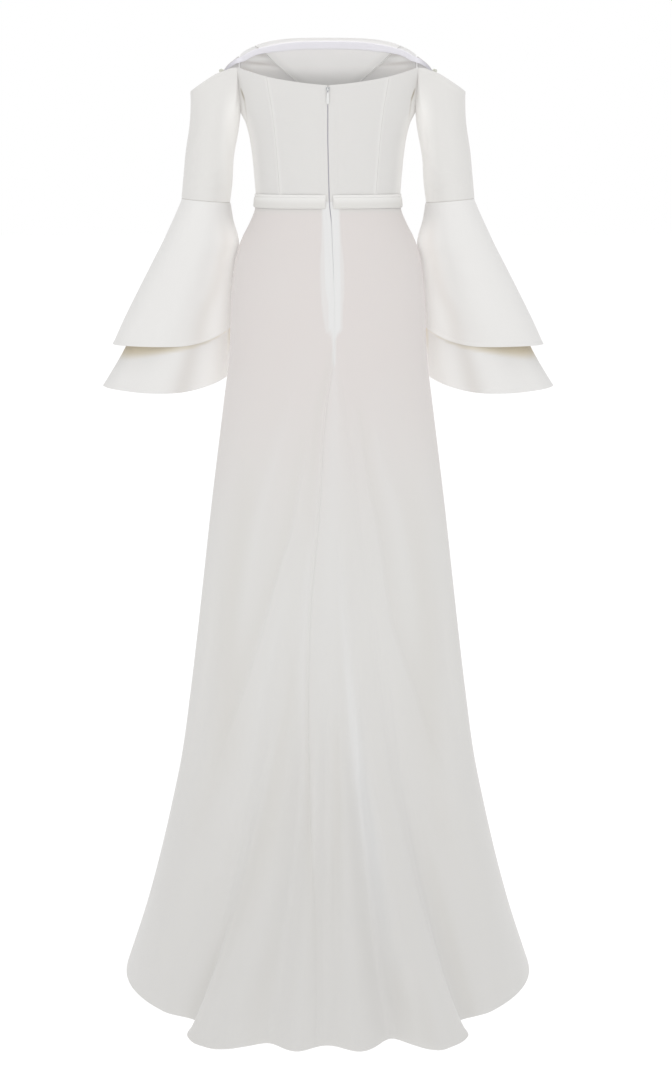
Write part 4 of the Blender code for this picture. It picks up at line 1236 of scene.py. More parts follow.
@dataclass
class Bodice:
    """Seven panels with princess seams, boned along the back seams."""

    underarm: float = 0.149
    back_armhole_top: float = 0.2190
    front_armhole_top: float = 0.2425
    back_armhole_across: float = 0.149
    front_armhole_across: float = 0.150
    armhole_share: float = 0.4
    back_neck: float = 0.1892
    front_neck: float = 0.2728
    side_neck_crown: float = 0.0010
    front_neck_power: float = 3.0
    back_neck_crown: float = -0.0015
    closer_at_ends: float = 0.40
    zip_end: float = -0.218
    wall: float = 0.0015
    seam_dip: float = 0.0008
    seam_dip_width: float = 0.0011
    placket_roll: float = 0.0006
    placket_roll_width: float = 0.0008
    placket_ridge: float = 0.0006
    placket_width: float = 0.0155
    placket_full: float = 0.65
    placket_groove: float = 0.0003
    groove_at: float = 0.5
    groove_width: float = 1.5
    boning: float = 0.0007
    boning_width: float = 0.0055
    boning_full: float = 0.2
    bottom: float = SEAM_GAP / 2
    side_steps: int = 34
    front_steps: int = 60
    down_steps: int = 84
    slider_clear: float = 0.1770
    slider_blend: float = 0.0080
    dusk_full: float = 0.190
    dusk_end: float = 0.229
    dusk_at_seam: float = 0.28
    dusk_overlap: float = 0.5
    dusk_reach: float = 0.024
    dusk_to_armhole: float = 0.42
    dusk_near_armhole: Span = (0.124, 0.147)
    dusk_at_armhole: Span = (0.1484, 0.1492)
    lit_start: float = 0.88
    lit_at_seam: float = 0.38
    seam_light: float = 0.0034
    lit_behind: Span = (-0.050, -0.015)
    rim_reach: Span = (0.006, 0.011)
    notch_width: float = 0.0011
    back_centre_cut: Cut = Cut(0.106, 0.206, 0.0178)
    back_side_cut: Cut = Cut(0.092, 0.226, 0.0178)
    front_centre_cut: Cut = Cut(0.262, 0.290, 0.0310)
    front_side_cut: Cut = Cut(0.175, 0.285, 0.0370)

    def cross_height(self, top: float, bottom: float, v: Array) -> Array:
        """Height of a cross line of the bodice. The lines lie closer together near both ends."""
        share = v - self.closer_at_ends * np.sin(FULL_TURN * v) / FULL_TURN
        return between(top, bottom, share)

    def seam_edge(
        self, seam: Curve, side: Side, gap_side: int, in_front: bool, v: Array
    ) -> Line:
        """Follow a panel's edge along a seam.

        Args:
            seam: How far from the middle the seam runs at each height.
            side: Side of the wearer.
            gap_side: 1 if the panel lies at larger angles than the seam, and -1 if not.
            in_front: Whether the seam is a front one.
            v: Shares of the way down.

        Returns:
            The edge's angles and heights.
        """
        height = self.cross_height(seam.at[-1], self.bottom, v)
        angle = FORM.angle_at(seam(height) * side.value, height, in_front)
        return FORM.shifted(angle, height, gap_side * SEAM_GAP / 2), height

    def armhole(self, share: Array | float, in_front: bool) -> Line:
        """Angle and height on the left armhole, from the underarm (0) up to the neckline (1)."""
        top = self.front_armhole_top if in_front else self.back_armhole_top
        across = self.front_armhole_across if in_front else self.back_armhole_across
        height = between(self.underarm, top, share * share)
        return between(QUARTER, FORM.angle_at(across, top, in_front), share), height

    def side_edge(self, side: Side, in_front: bool, v: Array) -> Line:
        """Follow the outer edge of a side panel: down the armhole, then down the side seam.

        Args:
            side: Side of the wearer.
            in_front: Whether the panel is a front one.
            v: Shares of the way down.

        Returns:
            The edge's angles and heights.
        """
        gap = side.value * SEAM_GAP / 2 * (1 if in_front else -1)
        on_armhole = v < self.armhole_share
        rise = 1 - np.minimum(v / self.armhole_share, 1)
        armhole_angle, armhole_height = self.armhole(rise, in_front)
        share = np.maximum(v - self.armhole_share, 0) / (1 - self.armhole_share)
        seam_height = self.cross_height(self.underarm, self.bottom, share)
        angle = np.where(on_armhole, armhole_angle, QUARTER)
        height = np.where(on_armhole, armhole_height, seam_height)
        return FORM.shifted(side.value * angle, height, gap), height

    def zip_edge(self, side: Side, v: Array) -> Line:
        """Edge of a back panel along the zip."""
        height = self.cross_height(self.back_neck, self.bottom, v)
        return self.zip_side(side, height), height

    def zip_side(self, side: Side, height: Array) -> Array:
        """Angle of a back panel's edge along the zip slit, or along the centre seam below it."""
        angle = FORM.angle_at(CENTRE_BACK(height), height)
        return FORM.shifted(angle, height, side.value * ZIP_OPENING(height) / 2)

    def opened(self, height: Array) -> Array:
        """How far the zip slit is open, from 0 to 1."""
        closed, wide = ZIP_OPENING.values[[0, -1]]
        return np.clip((ZIP_OPENING(height) - closed) / (wide - closed), 0.0, 1.0)

    def back_relief(
        self, zip_first: bool | None, first: Array, last: Array, angle: Array, height: Array
    ) -> Array:
        """Find how far a back panel stands out: sunk at its seams, with the boning beside them.

        Args:
            zip_first: Whether the zip is at the first edge. None if the panel has no zip.
            first: Distances to the first edge.
            last: Distances to the last edge.
            angle: Angles round the body.
            height: Heights over the waist.

        Returns:
            How far each place stands out.
        """
        total = np.zeros_like(first)
        full = self.boning_width * self.boning_full
        for distance, is_zip in ((first, zip_first is True), (last, zip_first is False)):
            if is_zip:
                total += self.placket(distance, height)
            else:
                total += self.boning * (1 - soft_step(distance, full, self.boning_width))
        return total + self.crumple(angle, height)

    def placket(self, distance: Array, height: Array) -> Array:
        """Find the relief beside the zip: a rolled edge, and below the slider the tape's ridge.

        Args:
            distance: Distances to the slit.
            height: Heights over the waist.

        Returns:
            How far each place stands out.
        """
        width = self.placket_width
        roll = -self.placket_roll * bell(distance, self.placket_roll_width)
        ridge = self.placket_ridge * (1 - soft_step(distance, width * self.placket_full, width))
        groove_width = self.placket_roll_width * self.groove_width
        groove = -self.placket_groove * bell(distance - width * self.groove_at, groove_width)
        blend = self.slider_clear - self.slider_blend
        return roll + (ridge + groove) * (1 - soft_step(height, blend, self.slider_clear))

    def front_relief(self, first: Array, last: Array, angle: Array, height: Array) -> Array:
        """How far a front panel stands out. It is sunk at its seams."""
        dips = bell(first, self.seam_dip_width) + bell(last, self.seam_dip_width)
        return self.crumple(angle, height) - self.seam_dip * dips

    @staticmethod
    def crumple(angle: Array, height: Array) -> Array:
        """How far the shallow creases of a worn bodice stand out."""
        across = FORM.outline(angle, height)[..., 0]
        behind = crease_sum(BACK_CREASES, across, height)
        return np.where(np.cos(angle) > 0, behind, crease_sum(FRONT_CREASES, across, height))

    def dusk_tint(self, points: Array) -> Array:
        """How strong the painted shade inside the front is: low down, near its seams and towards
        the armholes.
        """
        away = np.abs(np.abs(points[:, 0]) - FRONT_SEAM(points[:, 2]))
        low = 1 - soft_step(points[:, 2], self.dusk_full, self.dusk_end)
        under_rim = self.under_rim(points)
        near = self.dusk_at_seam * (1 - soft_step(away, 0.0, self.dusk_reach)) * under_rim
        across = np.abs(points[:, 0])
        side = self.dusk_to_armhole * soft_step(across, *self.dusk_near_armhole)
        edge = np.maximum(side, soft_step(across, *self.dusk_at_armhole)) * under_rim
        return np.clip(np.maximum(low + near * (1 - low * self.dusk_overlap), edge), 0.0, 1.0)

    def under_rim(self, points: Array) -> Array:
        """Whether points of the front's sides lie below the neckline tape, from 0 to 1."""
        start, end = FRONT_SEAM.values[-1], self.front_armhole_across
        share = (np.abs(points[:, 0]) - start) / (end - start)
        rim = between(FRONT_SEAM.at[-1], self.front_armhole_top, share)
        return soft_step(rim - points[:, 2], *self.rim_reach)

    def streaks(self, creases: Sequence[Crease], points: Array) -> Array:
        """How strong the painted streaks inside the front's sides are, the light ones and the
        shaded ones alike.
        """
        strength = crease_sum(creases, np.abs(points[:, 0]), points[:, 2])
        return self.under_rim(points) * np.clip(strength, 0.0, 1.0)

    def light_tint(self, points: Array) -> Array:
        """How strong the painted light inside the front's sides is, along a streak and over the
        neckline tape.
        """
        return np.maximum(self.streaks(LIGHT_STREAKS, points), 1 - self.under_rim(points))

    def lit_tint(self, points: Array) -> Array:
        """How strong the painted glow is beside the arm, and the painted highlight along the ridge
        of each back seam.
        """
        across, height = np.abs(points[:, 0]), points[:, 2]
        side = soft_step(across / LEVELS["half_width"](height), self.lit_start, 1.0)
        ridge = self.lit_at_seam * bell(across - BACK_SEAM(height), self.seam_light)
        return np.maximum(side, ridge) * soft_step(points[:, 1], *self.lit_behind)

    def notch_tint(self, points: Array) -> Array:
        """How strong the painted shade of the small fold at the underarm is."""
        height = points[:, 2]
        across, dark = UNDERARM_NOTCH.values()
        line = bell(np.abs(points[:, 0]) - across(height), self.notch_width)
        inside = (height > dark.at[0]) & (height < dark.at[-1])
        return np.clip(dark(height) * line * inside, 0.0, 1.0)

    def panels(self) -> list[Cloth]:
        """Make the seven panels."""
        made = []
        for side in Side:
            inward, outward = -side.value, side.value
            left = side is Side.LEFT
            rows = (
                (
                    "back_centre", self.back_centre_cut, INSIDE, self.back_neck_crown,
                    partial(self.back_relief, left), partial(self.zip_edge, side),
                    partial(self.seam_edge, BACK_SEAM, side, inward, False),
                ),
                (
                    "back_side", self.back_side_cut, INSIDE, 0.0, partial(self.back_relief, None),
                    partial(self.seam_edge, BACK_SEAM, side, outward, False),
                    partial(self.side_edge, side, False),
                ),
                (
                    "front_side", self.front_side_cut, LINING, self.side_neck_crown,
                    self.front_relief, partial(self.side_edge, side, True),
                    partial(self.seam_edge, FRONT_SEAM, side, inward, True),
                ),
            )
            for name, cut, inside, crown, out, *edges in rows:
                edges = edges if left else edges[::-1]
                place = partial(panel_place, *edges, crown=crown, out=out)
                node = f"bodice_{name}_{side.label}"
                made.append(self.panel(node, cut, self.side_steps, place, inside))
        right = partial(self.seam_edge, FRONT_SEAM, Side.RIGHT, -1, True)
        place = partial(
            panel_place, partial(self.seam_edge, FRONT_SEAM, Side.LEFT, 1, True),
            partial(over_the_front, right), crown=self.front_neck - FRONT_SEAM.at[-1],
            out=self.front_relief, power=self.front_neck_power,
        )
        cut = self.front_centre_cut
        made.append(self.panel("bodice_front_centre", cut, self.front_steps, place, INSIDE))
        return made

    def panel(self, node: str, cut: Cut, steps: int, place: Place, inside: Crepe) -> Cloth:
        """Make one panel of the bodice.

        Args:
            node: The node that it stands for.
            cut: Its flat cut.
            steps: How many even steps it has from edge to edge.
            place: Its place function.
            inside: Its finish inside.

        Returns:
            The panel.
        """
        across, down = spaced(steps, PANEL_EDGE_LINES), spaced(self.down_steps, PANEL_END_LINES)
        tints = {
            "dusk": self.dusk_tint, "light": self.light_tint,
            "dark": partial(self.streaks, DARK_STREAKS), "lit": self.lit_tint,
            "notch": self.notch_tint,
        }
        return Cloth(
            node, cut, across, down, place, self.wall, BODICE_CREPE, inside, held="stretched",
            tints=tints, rim_inside=inside is LINING,
        )


def crease_sum(creases: Sequence[Crease], across: Array, height: Array) -> Array:
    """Find how far shallow creases stand out.

    Args:
        creases: The creases.
        across: How far to the wearer's left each place lies.
        height: Its height.

    Returns:
        How far the cloth stands out at each place.
    """
    total = np.zeros_like(across)
    for crease in creases:
        x, z = across - crease.across, height - crease.height
        along, aside = x + z * crease.slope, z - x * crease.slope
        total += crease.out * bell(along, crease.reach) * bell(aside, crease.width)
    return total


def dent_sum(
    around: Array, down: Array, dents: Sequence[Dent], girth: float, length: float
) -> Array:
    """Find how far soft creases of a tube stand out.

    Args:
        around: Share of the way round.
        down: Share of the way down.
        dents: The creases.
        girth: Length all round the tube.
        length: Length from its upper to its lower edge.

    Returns:
        How far the cloth stands out at each place.
    """
    total = np.zeros_like(around)
    for dent in dents:
        x = ((around - dent.around + 0.5) % 1.0 - 0.5) * girth
        z = (down - dent.down) * length
        turn = math.radians(dent.turn_degrees)
        along = x * math.cos(turn) + z * math.sin(turn)
        aside = z * math.cos(turn) - x * math.sin(turn)
        total += dent.out * bell(along, dent.reach) * bell(aside, dent.width)
    return total


def tube_point(
    rings: Columns, angle: Array, height: Array, out: Array | float = 0.0,
    inner_square: Array | float = 1.0,
) -> Array:
    """Find points on a tube of the left arm: angle 0 faces the body and 90 degrees faces back.

    Args:
        rings: The tube's columns.
        angle: Angles round the arm.
        height: Heights over the waist.
        out: How far outside the tube the points lie.
        inner_square: Power that squares its half towards the body: 1 is an ellipse.

    Returns:
        Points, one for each pair.
    """
    ring = {name: column(height) for name, column in rings.items()}
    half_width = (ring["outer"] - ring["inner"]) / 2
    power = np.where(np.cos(angle) > 0, inner_square, 1.0)
    centre = (ring["inner"] + ring["outer"]) / 2
    x = centre - (half_width + out) * signed_power(np.cos(angle), power)
    y = ring["middle"] + (ring["half_depth"] + out) * signed_power(np.sin(angle), power)
    return np.stack([x, y, height + np.zeros_like(x)], axis=-1)


def share_inwards(rings: Columns, points: Array) -> Array:
    """How far from a tube's outer side to the side towards the body points lie, from 0 to 1."""
    outer, inner = rings["outer"](points[:, 2]), rings["inner"](points[:, 2])
    return np.clip((outer - np.abs(points[:, 0])) / (outer - inner), 0.0, 1.0)


@dataclass
class Sleeves:
    """A tube to the elbow on each side, with a free edge off the shoulder."""

    bodice: Bodice
    wall: float = 0.0015
    rim_round: float = 2.6
    armhole_turn: float = 4 / 24
    armhole_angle: float = math.radians(40)
    rim_blend: float = 0.6
    elbow_slope: float = 0.0034
    girth: float = 0.290
    length: float = 0.205
    seam_dip: float = 0.0007
    seam_width: float = 0.0012
    turned_edge: float = 0.0004
    turned_width: float = 0.0070
    turned_full: float = 0.8
    inner_square: float = 0.60
    square_heights: Span = (0.010, 0.085)
    lit_start: float = 0.68
    lit_top: Span = (0.140, 0.205)
    steps: Steps = (128, 84)
    end_lines: Lines = (0.004, 0.010, 0.020, 0.032)
    dusk: float = 0.75
    dusk_below: Span = (0.0003, 0.0012)
    cut: Cut = Cut(0.345, 0.250, 0.0574)

    def rim_point(self, across: Array, in_front: bool) -> Array:
        """Find points of the free edge of the left sleeve.

        Args:
            across: How far from the middle they lie.
            in_front: Whether they lie on the front half.

        Returns:
            Points, one for each distance.
        """
        curve = SLEEVE_RIM["front" if in_front else "back"]
        start, corner = curve.at[[0, -1]]
        share = np.clip((across - start) / (corner - start), 0.0, 1.0)
        round_off = np.maximum(1 - share ** self.rim_round, 0.0) ** (1 / self.rim_round)
        angle, height = self.bodice.armhole(1.0, in_front)
        depth = FORM.point(np.asarray(angle), np.asarray(height))[1]
        rise = curve(across)
        return np.stack([across + np.zeros_like(rise), depth * round_off, rise], axis=-1)

    def half_top(self, turn: Array, in_front: bool) -> Line:
        """Find points of the upper edge on one half of the left sleeve.

        Args:
            turn: Share of the way round, from 0 at the body to 0.5 at the outer corner.
            in_front: Whether it is the front half.

        Returns:
            The points and their angles round the arm.
        """
        share = np.minimum(turn / self.armhole_turn, 1.0)
        angle, height = self.bodice.armhole(share, in_front)
        at_armhole = FORM.point(angle, height) + np.array([SEAM_GAP, 0.0, 0.0])
        along = np.clip((turn - self.armhole_turn) / (0.5 - self.armhole_turn), 0.0, 1.0)
        start = self.bodice.front_armhole_across if in_front else self.bodice.back_armhole_across
        rim_start, corner = SLEEVE_RIM["back"].at[[0, -1]]
        across = between(start + SEAM_GAP, corner, np.sin(along * QUARTER))
        free = self.rim_point(np.maximum(across, rim_start), in_front)
        free[:, 0] = across
        on_rim = turn >= self.armhole_turn
        points = np.where(on_rim[:, None], free, at_armhole)
        rim_angle = between(self.armhole_angle, math.pi, along)
        ring_angle = np.where(on_rim, rim_angle, self.armhole_angle * share)
        return points, FULL_TURN - ring_angle if in_front else ring_angle

    def top(self, u: Array) -> Line:
        """Find points of the upper edge of the left sleeve, and their angles round the arm."""
        back, back_angle = self.half_top(np.minimum(u, 0.5), False)
        front, front_angle = self.half_top(np.minimum(1 - u, 0.5), True)
        in_front = u > 0.5
        return np.where(in_front[:, None], front, back), np.where(in_front, front_angle, back_angle)

    def elbow(self, angle: Array) -> Array:
        """Height of the elbow seam, which slopes a little towards the body."""
        return -self.elbow_slope * np.cos(angle)

    def place(self, u: Array, v: Array) -> Array:
        """Place of the left sleeve's outer face."""
        top, angle = self.top(u)
        bottom = self.elbow(angle) + SEAM_GAP / 2
        height = between(top[:, 2], bottom, v)
        down = v * self.length
        out = dent_sum(u, v, SLEEVE_DENTS, self.girth, self.length)
        out -= self.seam_dip * bell(self.length - down, self.seam_width)
        out -= self.seam_dip * bell(np.minimum(u, 1 - u) * self.girth, self.seam_width)
        square = between(1.0, self.inner_square, soft_step(height, *self.square_heights))
        ring = tube_point(SLEEVE_RINGS, angle, height, out, square)
        share = soft_step(v, 0.0, self.rim_blend)[:, None]
        points = between(np.stack([top[:, 0], top[:, 1], height], axis=-1), ring, share)
        full = self.turned_width * self.turned_full
        edge = self.turned_edge * (1 - soft_step(down, full, self.turned_width))
        points[:, 0] -= edge * np.cos(angle)
        points[:, 1] += edge * np.sin(angle)
        return points

    def dusk_tint(self, points: Array) -> Array:
        """How strong the painted shade inside the sleeve is, below its free edge."""
        across = np.abs(points[:, 0])
        behind, before = (curve(across) for curve in SLEEVE_RIM.values())
        rim = np.where(points[:, 1] < 0, before, behind)
        return self.dusk * soft_step(rim - points[:, 2], *self.dusk_below)

    def lit_tint(self, points: Array) -> Array:
        """How strong the painted glow is on the side towards the body."""
        lit = soft_step(share_inwards(SLEEVE_RINGS, points), self.lit_start, 1.0)
        above = 1 - soft_step(points[:, 2], *self.lit_top)
        return lit * above * soft_step(points[:, 1], *self.bodice.lit_behind)

    def pieces(self) -> list[Cloth]:
        """Make both sleeves."""
        around, down = spaced(self.steps[0]), spaced(self.steps[1], self.end_lines)
        return [
            Cloth(
                f"sleeve_{side.label}", self.cut, around, down, partial(mirrored, self.place, side),
                self.wall, SLEEVE_CREPE, LINING, tube=True, rim_inside=True,
                hangs_from=tuple(f"bodice_{half}_side_{side.label}" for half in ("back", "front")),
                tints={"lit": self.lit_tint, "dusk": self.dusk_tint},
            )
            for side in Side
        ]


@dataclass
class Tier:
    """One tier of flounce: its rings, its folds, how its hem rises and where its valley runs."""

    name: str
    rings: Columns
    folds: Sequence[Fold]
    rise: Rise
    cut: Cut
    valley: Curve

    @property
    def hem(self) -> float:
        """Height of its hem where it doesn't rise."""
        return self.rings["inner"].at[0]


@dataclass
class Flounces:
    """Two bell-shaped tiers at each elbow. The lower tier hangs inside the upper one."""

    sleeves: Sleeves
    wall: float = 0.0012
    rise_power: float = 2.4
    seam_dip: float = 0.0006
    seam_width: float = 0.0015
    turned_edge: float = 0.00035
    turned_width: float = 0.0060
    turned_full: float = 0.7
    hem_stitch: float = 0.0002
    shadow_core: float = 0.35
    edge_share: float = 0.955
    edge_drop: float = 0.060
    valley_width: float = 0.075
    inner_share: float = 0.62
    steps: Steps = (144, 76)
    end_lines: Lines = (0.003, 0.008, 0.014, 0.022)
    inner_top: float = -0.012
    inner_low: float = -0.070
    tiers: tuple[Tier, ...] = (
        Tier(
            "sleeve_flounce_upper", UPPER_FLOUNCE_RINGS, UPPER_FOLDS, UPPER_HEM_RISE,
            Cut(0.545, 0.307, 0.1068), UPPER_VALLEY,
        ),
        Tier(
            "sleeve_flounce_lower", LOWER_FLOUNCE_RINGS, LOWER_FOLDS, LOWER_HEM_RISE,
            Cut(0.570, 0.376, 0.1370), LOWER_VALLEY,
        ),
    )

    @staticmethod
    def fold_out(folds: Sequence[Fold], angle: Array, share: Array) -> Array:
        """How far the folds stand out, at a share of the way down to the hem."""
        degrees = np.degrees(angle)
        total = np.zeros_like(degrees)
        for fold in folds:
            middle = between(fold.top_degrees, fold.hem_degrees, share)
            total += fold.out * bell(degrees - middle, fold.width_degrees)
        return total * share

    def place(self, tier: Tier, u: Array, v: Array) -> Array:
        """Find points of a tier's outer face on the left.

        Args:
            tier: The tier.
            u: Shares of the way round.
            v: Shares of the way down.

        Returns:
            The points.
        """
        angle = u * FULL_TURN
        inner = np.maximum(np.cos(angle), 0.0) ** self.rise_power
        outer = np.maximum(-np.cos(angle), 0.0) ** self.rise_power
        bottom = tier.hem + tier.rise.inner * inner + tier.rise.outer * outer
        top = self.sleeves.elbow(angle) - SEAM_GAP / 2
        height = between(top, bottom, v)
        from_hem = height - bottom
        full = self.turned_width * self.turned_full
        out = self.fold_out(tier.folds, angle, v)
        out += self.turned_edge * (1 - soft_step(from_hem, full, self.turned_width))
        out -= self.hem_stitch * bell(from_hem - self.turned_width, self.turned_edge * 2)
        out -= self.seam_dip * bell(top - height, self.seam_width)
        return tube_point(tier.rings, angle, height, out)

    def cream_tint(self, tier: Tier, points: Array) -> Array:
        """Find the painted cream shadow on the lower tier, under the hem of the upper one and along
        its inner edge.

        Args:
            tier: The tier.
            points: Its points.

        Returns:
            How strong the shadow is at each.
        """
        over = self.tiers[0]
        if tier is over:
            return np.zeros(len(points))
        share = share_inwards(tier.rings, points)
        hem = over.hem + over.rise.inner * np.maximum(2 * share - 1, 0.0) ** self.rise_power
        reach, strength = (curve(share) for curve in HEM_SHADOW.values())
        below = np.maximum(hem - points[:, 2], 0.0)
        under = strength * (1 - soft_step(below, reach * self.shadow_core, reach))
        edge = soft_step(share, self.edge_share, 1.0) * (1 - soft_step(below, 0.0, self.edge_drop))
        return np.maximum(under, edge)

    def below_top(self, points: Array) -> Array:
        """Whether points lie below the upper end of a tier, from 0 to 1."""
        return 1 - soft_step(points[:, 2], self.inner_low, self.inner_top)

    def valley_tint(self, tier: Tier, points: Array) -> Array:
        """How strong the painted shade along the valley of a tier is."""
        away = share_inwards(tier.rings, points) - tier.valley(points[:, 2])
        return bell(away, self.valley_width) * self.below_top(points)

    def lit_tint(self, tier: Tier, points: Array) -> Array:
        """How strong the painted glow is on a tier's side towards the body."""
        inner = soft_step(share_inwards(tier.rings, points), self.inner_share, 1.0)
        return inner * self.below_top(points)

    def pieces(self) -> list[Cloth]:
        """Make both tiers on both sides."""
        around, down = spaced(self.steps[0]), spaced(self.steps[1], self.end_lines)
        return [
            Cloth(
                f"{tier.name}_{side.label}", tier.cut, around, down,
                partial(mirrored, partial(self.place, tier), side), self.wall, FLOUNCE_CREPE,
                CREAM_INSIDE, hangs_from=(f"sleeve_{side.label}",), tube=True,
                tints={
                    "cream": partial(self.cream_tint, tier),
                    "valley": partial(self.valley_tint, tier), "lit": partial(self.lit_tint, tier),
                },
            )
            for tier in self.tiers
            for side in Side
        ]


@dataclass
class NecklineTape:
    """The pale tape along the inside of the front neckline."""

    bodice: Bodice
    sleeves: Sleeves
    wall: float = 0.0010
    reach: float = 0.176
    clearance: float = 0.0009
    armhole_clearance: float = 0.0035
    armhole_reach: float = 0.025
    lean: float = 0.2
    step: float = 0.004
    dusk_from: Span = (0.140, 0.173)
    steps: Steps = (220, 8)
    cut: Cut = Cut(0.432, 0.0125, 0.0046)

    def edge_point(self, across: Array, drop: Array) -> Array:
        """Find points of the cloth a little below the front neckline, on the bodice or a sleeve.

        Args:
            across: How far to the wearer's left they lie.
            drop: How far below the neckline they lie.

        Returns:
            Points, one for each pair.
        """
        armhole_across = self.bodice.front_armhole_across
        armhole_top = self.bodice.front_armhole_top
        far = np.abs(across)
        sleeve = self.sleeves.rim_point(np.maximum(far, armhole_across), True)
        near_armhole = 1 - soft_step(far, armhole_across, self.reach)
        sleeve[:, 0] = across
        sleeve[:, 1] += drop * self.lean * near_armhole
        sleeve[:, 2] -= drop
        seam_across, seam_top = FRONT_SEAM.values[-1], FRONT_SEAM.at[-1]
        share = (far / seam_across) ** self.bodice.front_neck_power
        centre_height = between(self.bodice.front_neck, seam_top, share)
        share = (far - seam_across) / (armhole_across - seam_across)
        crown = 4 * self.bodice.side_neck_crown * share * (1 - share)
        side_height = between(seam_top, armhole_top, share) + crown
        height = np.where(far < seam_across, centre_height, side_height)
        front = FORM.point(FORM.angle_at(across, height, True), height - drop)
        return np.where((far > armhole_across)[:, None], sleeve, front)

    def place(self, u: Array, v: Array) -> Array:
        """Place of the tape's face that lies against the cloth."""
        across = between(self.reach, -self.reach, u)
        far = np.abs(across)
        drop, width = (line(far) for line in NECK_TAPE_LINES.values())
        drop = drop + width * v
        before = self.edge_point(np.minimum(across + self.step, self.reach), drop)
        after = self.edge_point(np.maximum(across - self.step, -self.reach), drop)
        along = after - before
        inward = np.stack([along[:, 1], -along[:, 0], np.zeros(len(u))], axis=-1)
        inward /= lengths(inward)[:, None]
        start = self.bodice.front_armhole_across
        near_armhole = soft_step(far, start - self.armhole_reach, start)
        inset = self.bodice.wall + self.clearance + self.armhole_clearance * near_armhole
        return self.edge_point(across, drop) + inward * inset[:, None]

    def dusk_tint(self, points: Array) -> Array:
        """How strong the painted shade on the tape is towards its ends."""
        return soft_step(np.abs(points[:, 0]), *self.dusk_from)

    def piece(self) -> Cloth:
        """Make the tape."""
        return Cloth(
            "neckline_tape", self.cut, *map(spaced, self.steps), self.place, self.wall, LILAC,
            LILAC, Slot.TAPE, "stretched", ("bodice_front_centre",), soft_rim=FINE_RIM,
            tints={"dusk": self.dusk_tint},
        )


@dataclass
class Belt:
    """The padded waist belt: a soft roll with a fine flat strip above it, open at the zip."""

    height: float = 0.023
    end_gap: float = 0.006
    clearance: float = 0.0009
    wall: float = 0.0011
    strip_height: float = 0.0040
    groove: float = 0.0005
    roll_out: float = 0.0024
    strip_out: float = 0.0007
    snug: float = 0.0007
    snug_reach: float = 0.12
    highlight_span: Span = (0.20, 0.75)
    roll_square: float = 0.42
    strip_square: float = 0.30
    end_round: float = 0.0045
    end_narrowing: float = 0.10
    girth: float = 0.655
    wobble: float = 0.0005
    wobble_turns: Lines = (3.0, 7.0, 16.0)
    groove_lines: Lines = (-0.5, 0.0, 0.5, 1.0, 1.8)
    steps: Steps = (190, 32)
    edge_lines: Span = (0.004, 0.012)
    end_lines: Lines = (0.0008, 0.0018, 0.0030, 0.0044, 0.0060)
    cut: Cut = Cut(0.665, 0.027, 0.0175)

    def section(self, v: Array) -> Array:
        """How far the face stands out over the belt's edges."""
        down = v * self.height
        strip = np.clip(down / self.strip_height, 0.0, 1.0)
        start = self.strip_height + self.groove
        roll = np.clip((down - start) / (self.height - start), 0.0, 1.0)
        strip_out = self.strip_out * (4 * strip * (1 - strip)) ** self.strip_square
        return strip_out + self.roll_out * (4 * roll * (1 - roll)) ** self.roll_square

    def place(self, u: Array, v: Array) -> Array:
        """Place of the belt's outer face."""
        middle = CENTRE_BACK(0.0)
        start = FORM.angle_at(middle + self.end_gap, 0.0)
        end = FORM.angle_at(middle - self.end_gap, 0.0) + FULL_TURN
        from_end = np.minimum(u, 1 - u) * self.girth
        near = np.clip(1 - from_end / self.end_round, 0.0, 1.0)
        rounding = np.sqrt(np.maximum(1 - near * near, 0.0))
        spread = between(1 - self.end_narrowing, 1.0, rounding)
        sway = sum(np.sin(u * turns * FULL_TURN + turns) / turns for turns in self.wobble_turns)
        height = between(self.height / 2, -self.height / 2, v) * spread + self.wobble * sway * v
        snug = self.snug * (1 - soft_step(np.minimum(v, 1 - v), 0.0, self.snug_reach))
        out = self.clearance + self.wall - snug + self.section(v) * rounding
        return FORM.point(between(start, end, u), height, out)

    def pale_tint(self, points: Array) -> Array:
        """How strong the painted highlight on the belt is, stronger towards its upper edge."""
        return 1 - soft_step(0.5 - points[:, 2] / self.height, *self.highlight_span)

    def piece(self) -> Cloth:
        """Make the belt."""
        groove = (self.strip_height + self.groove * np.array(self.groove_lines)) / self.height
        down = np.unique(np.concatenate([spaced(self.steps[1], self.edge_lines), groove]))
        return Cloth(
            "waist_belt", self.cut, spaced(self.steps[0], self.end_lines), down, self.place,
            self.wall, BELT_CREPE, BELT_CREPE, held="stretched", soft_rim=FINE_RIM,
            hangs_from=("bodice_front_centre",), tints={"pale": self.pale_tint},
        )


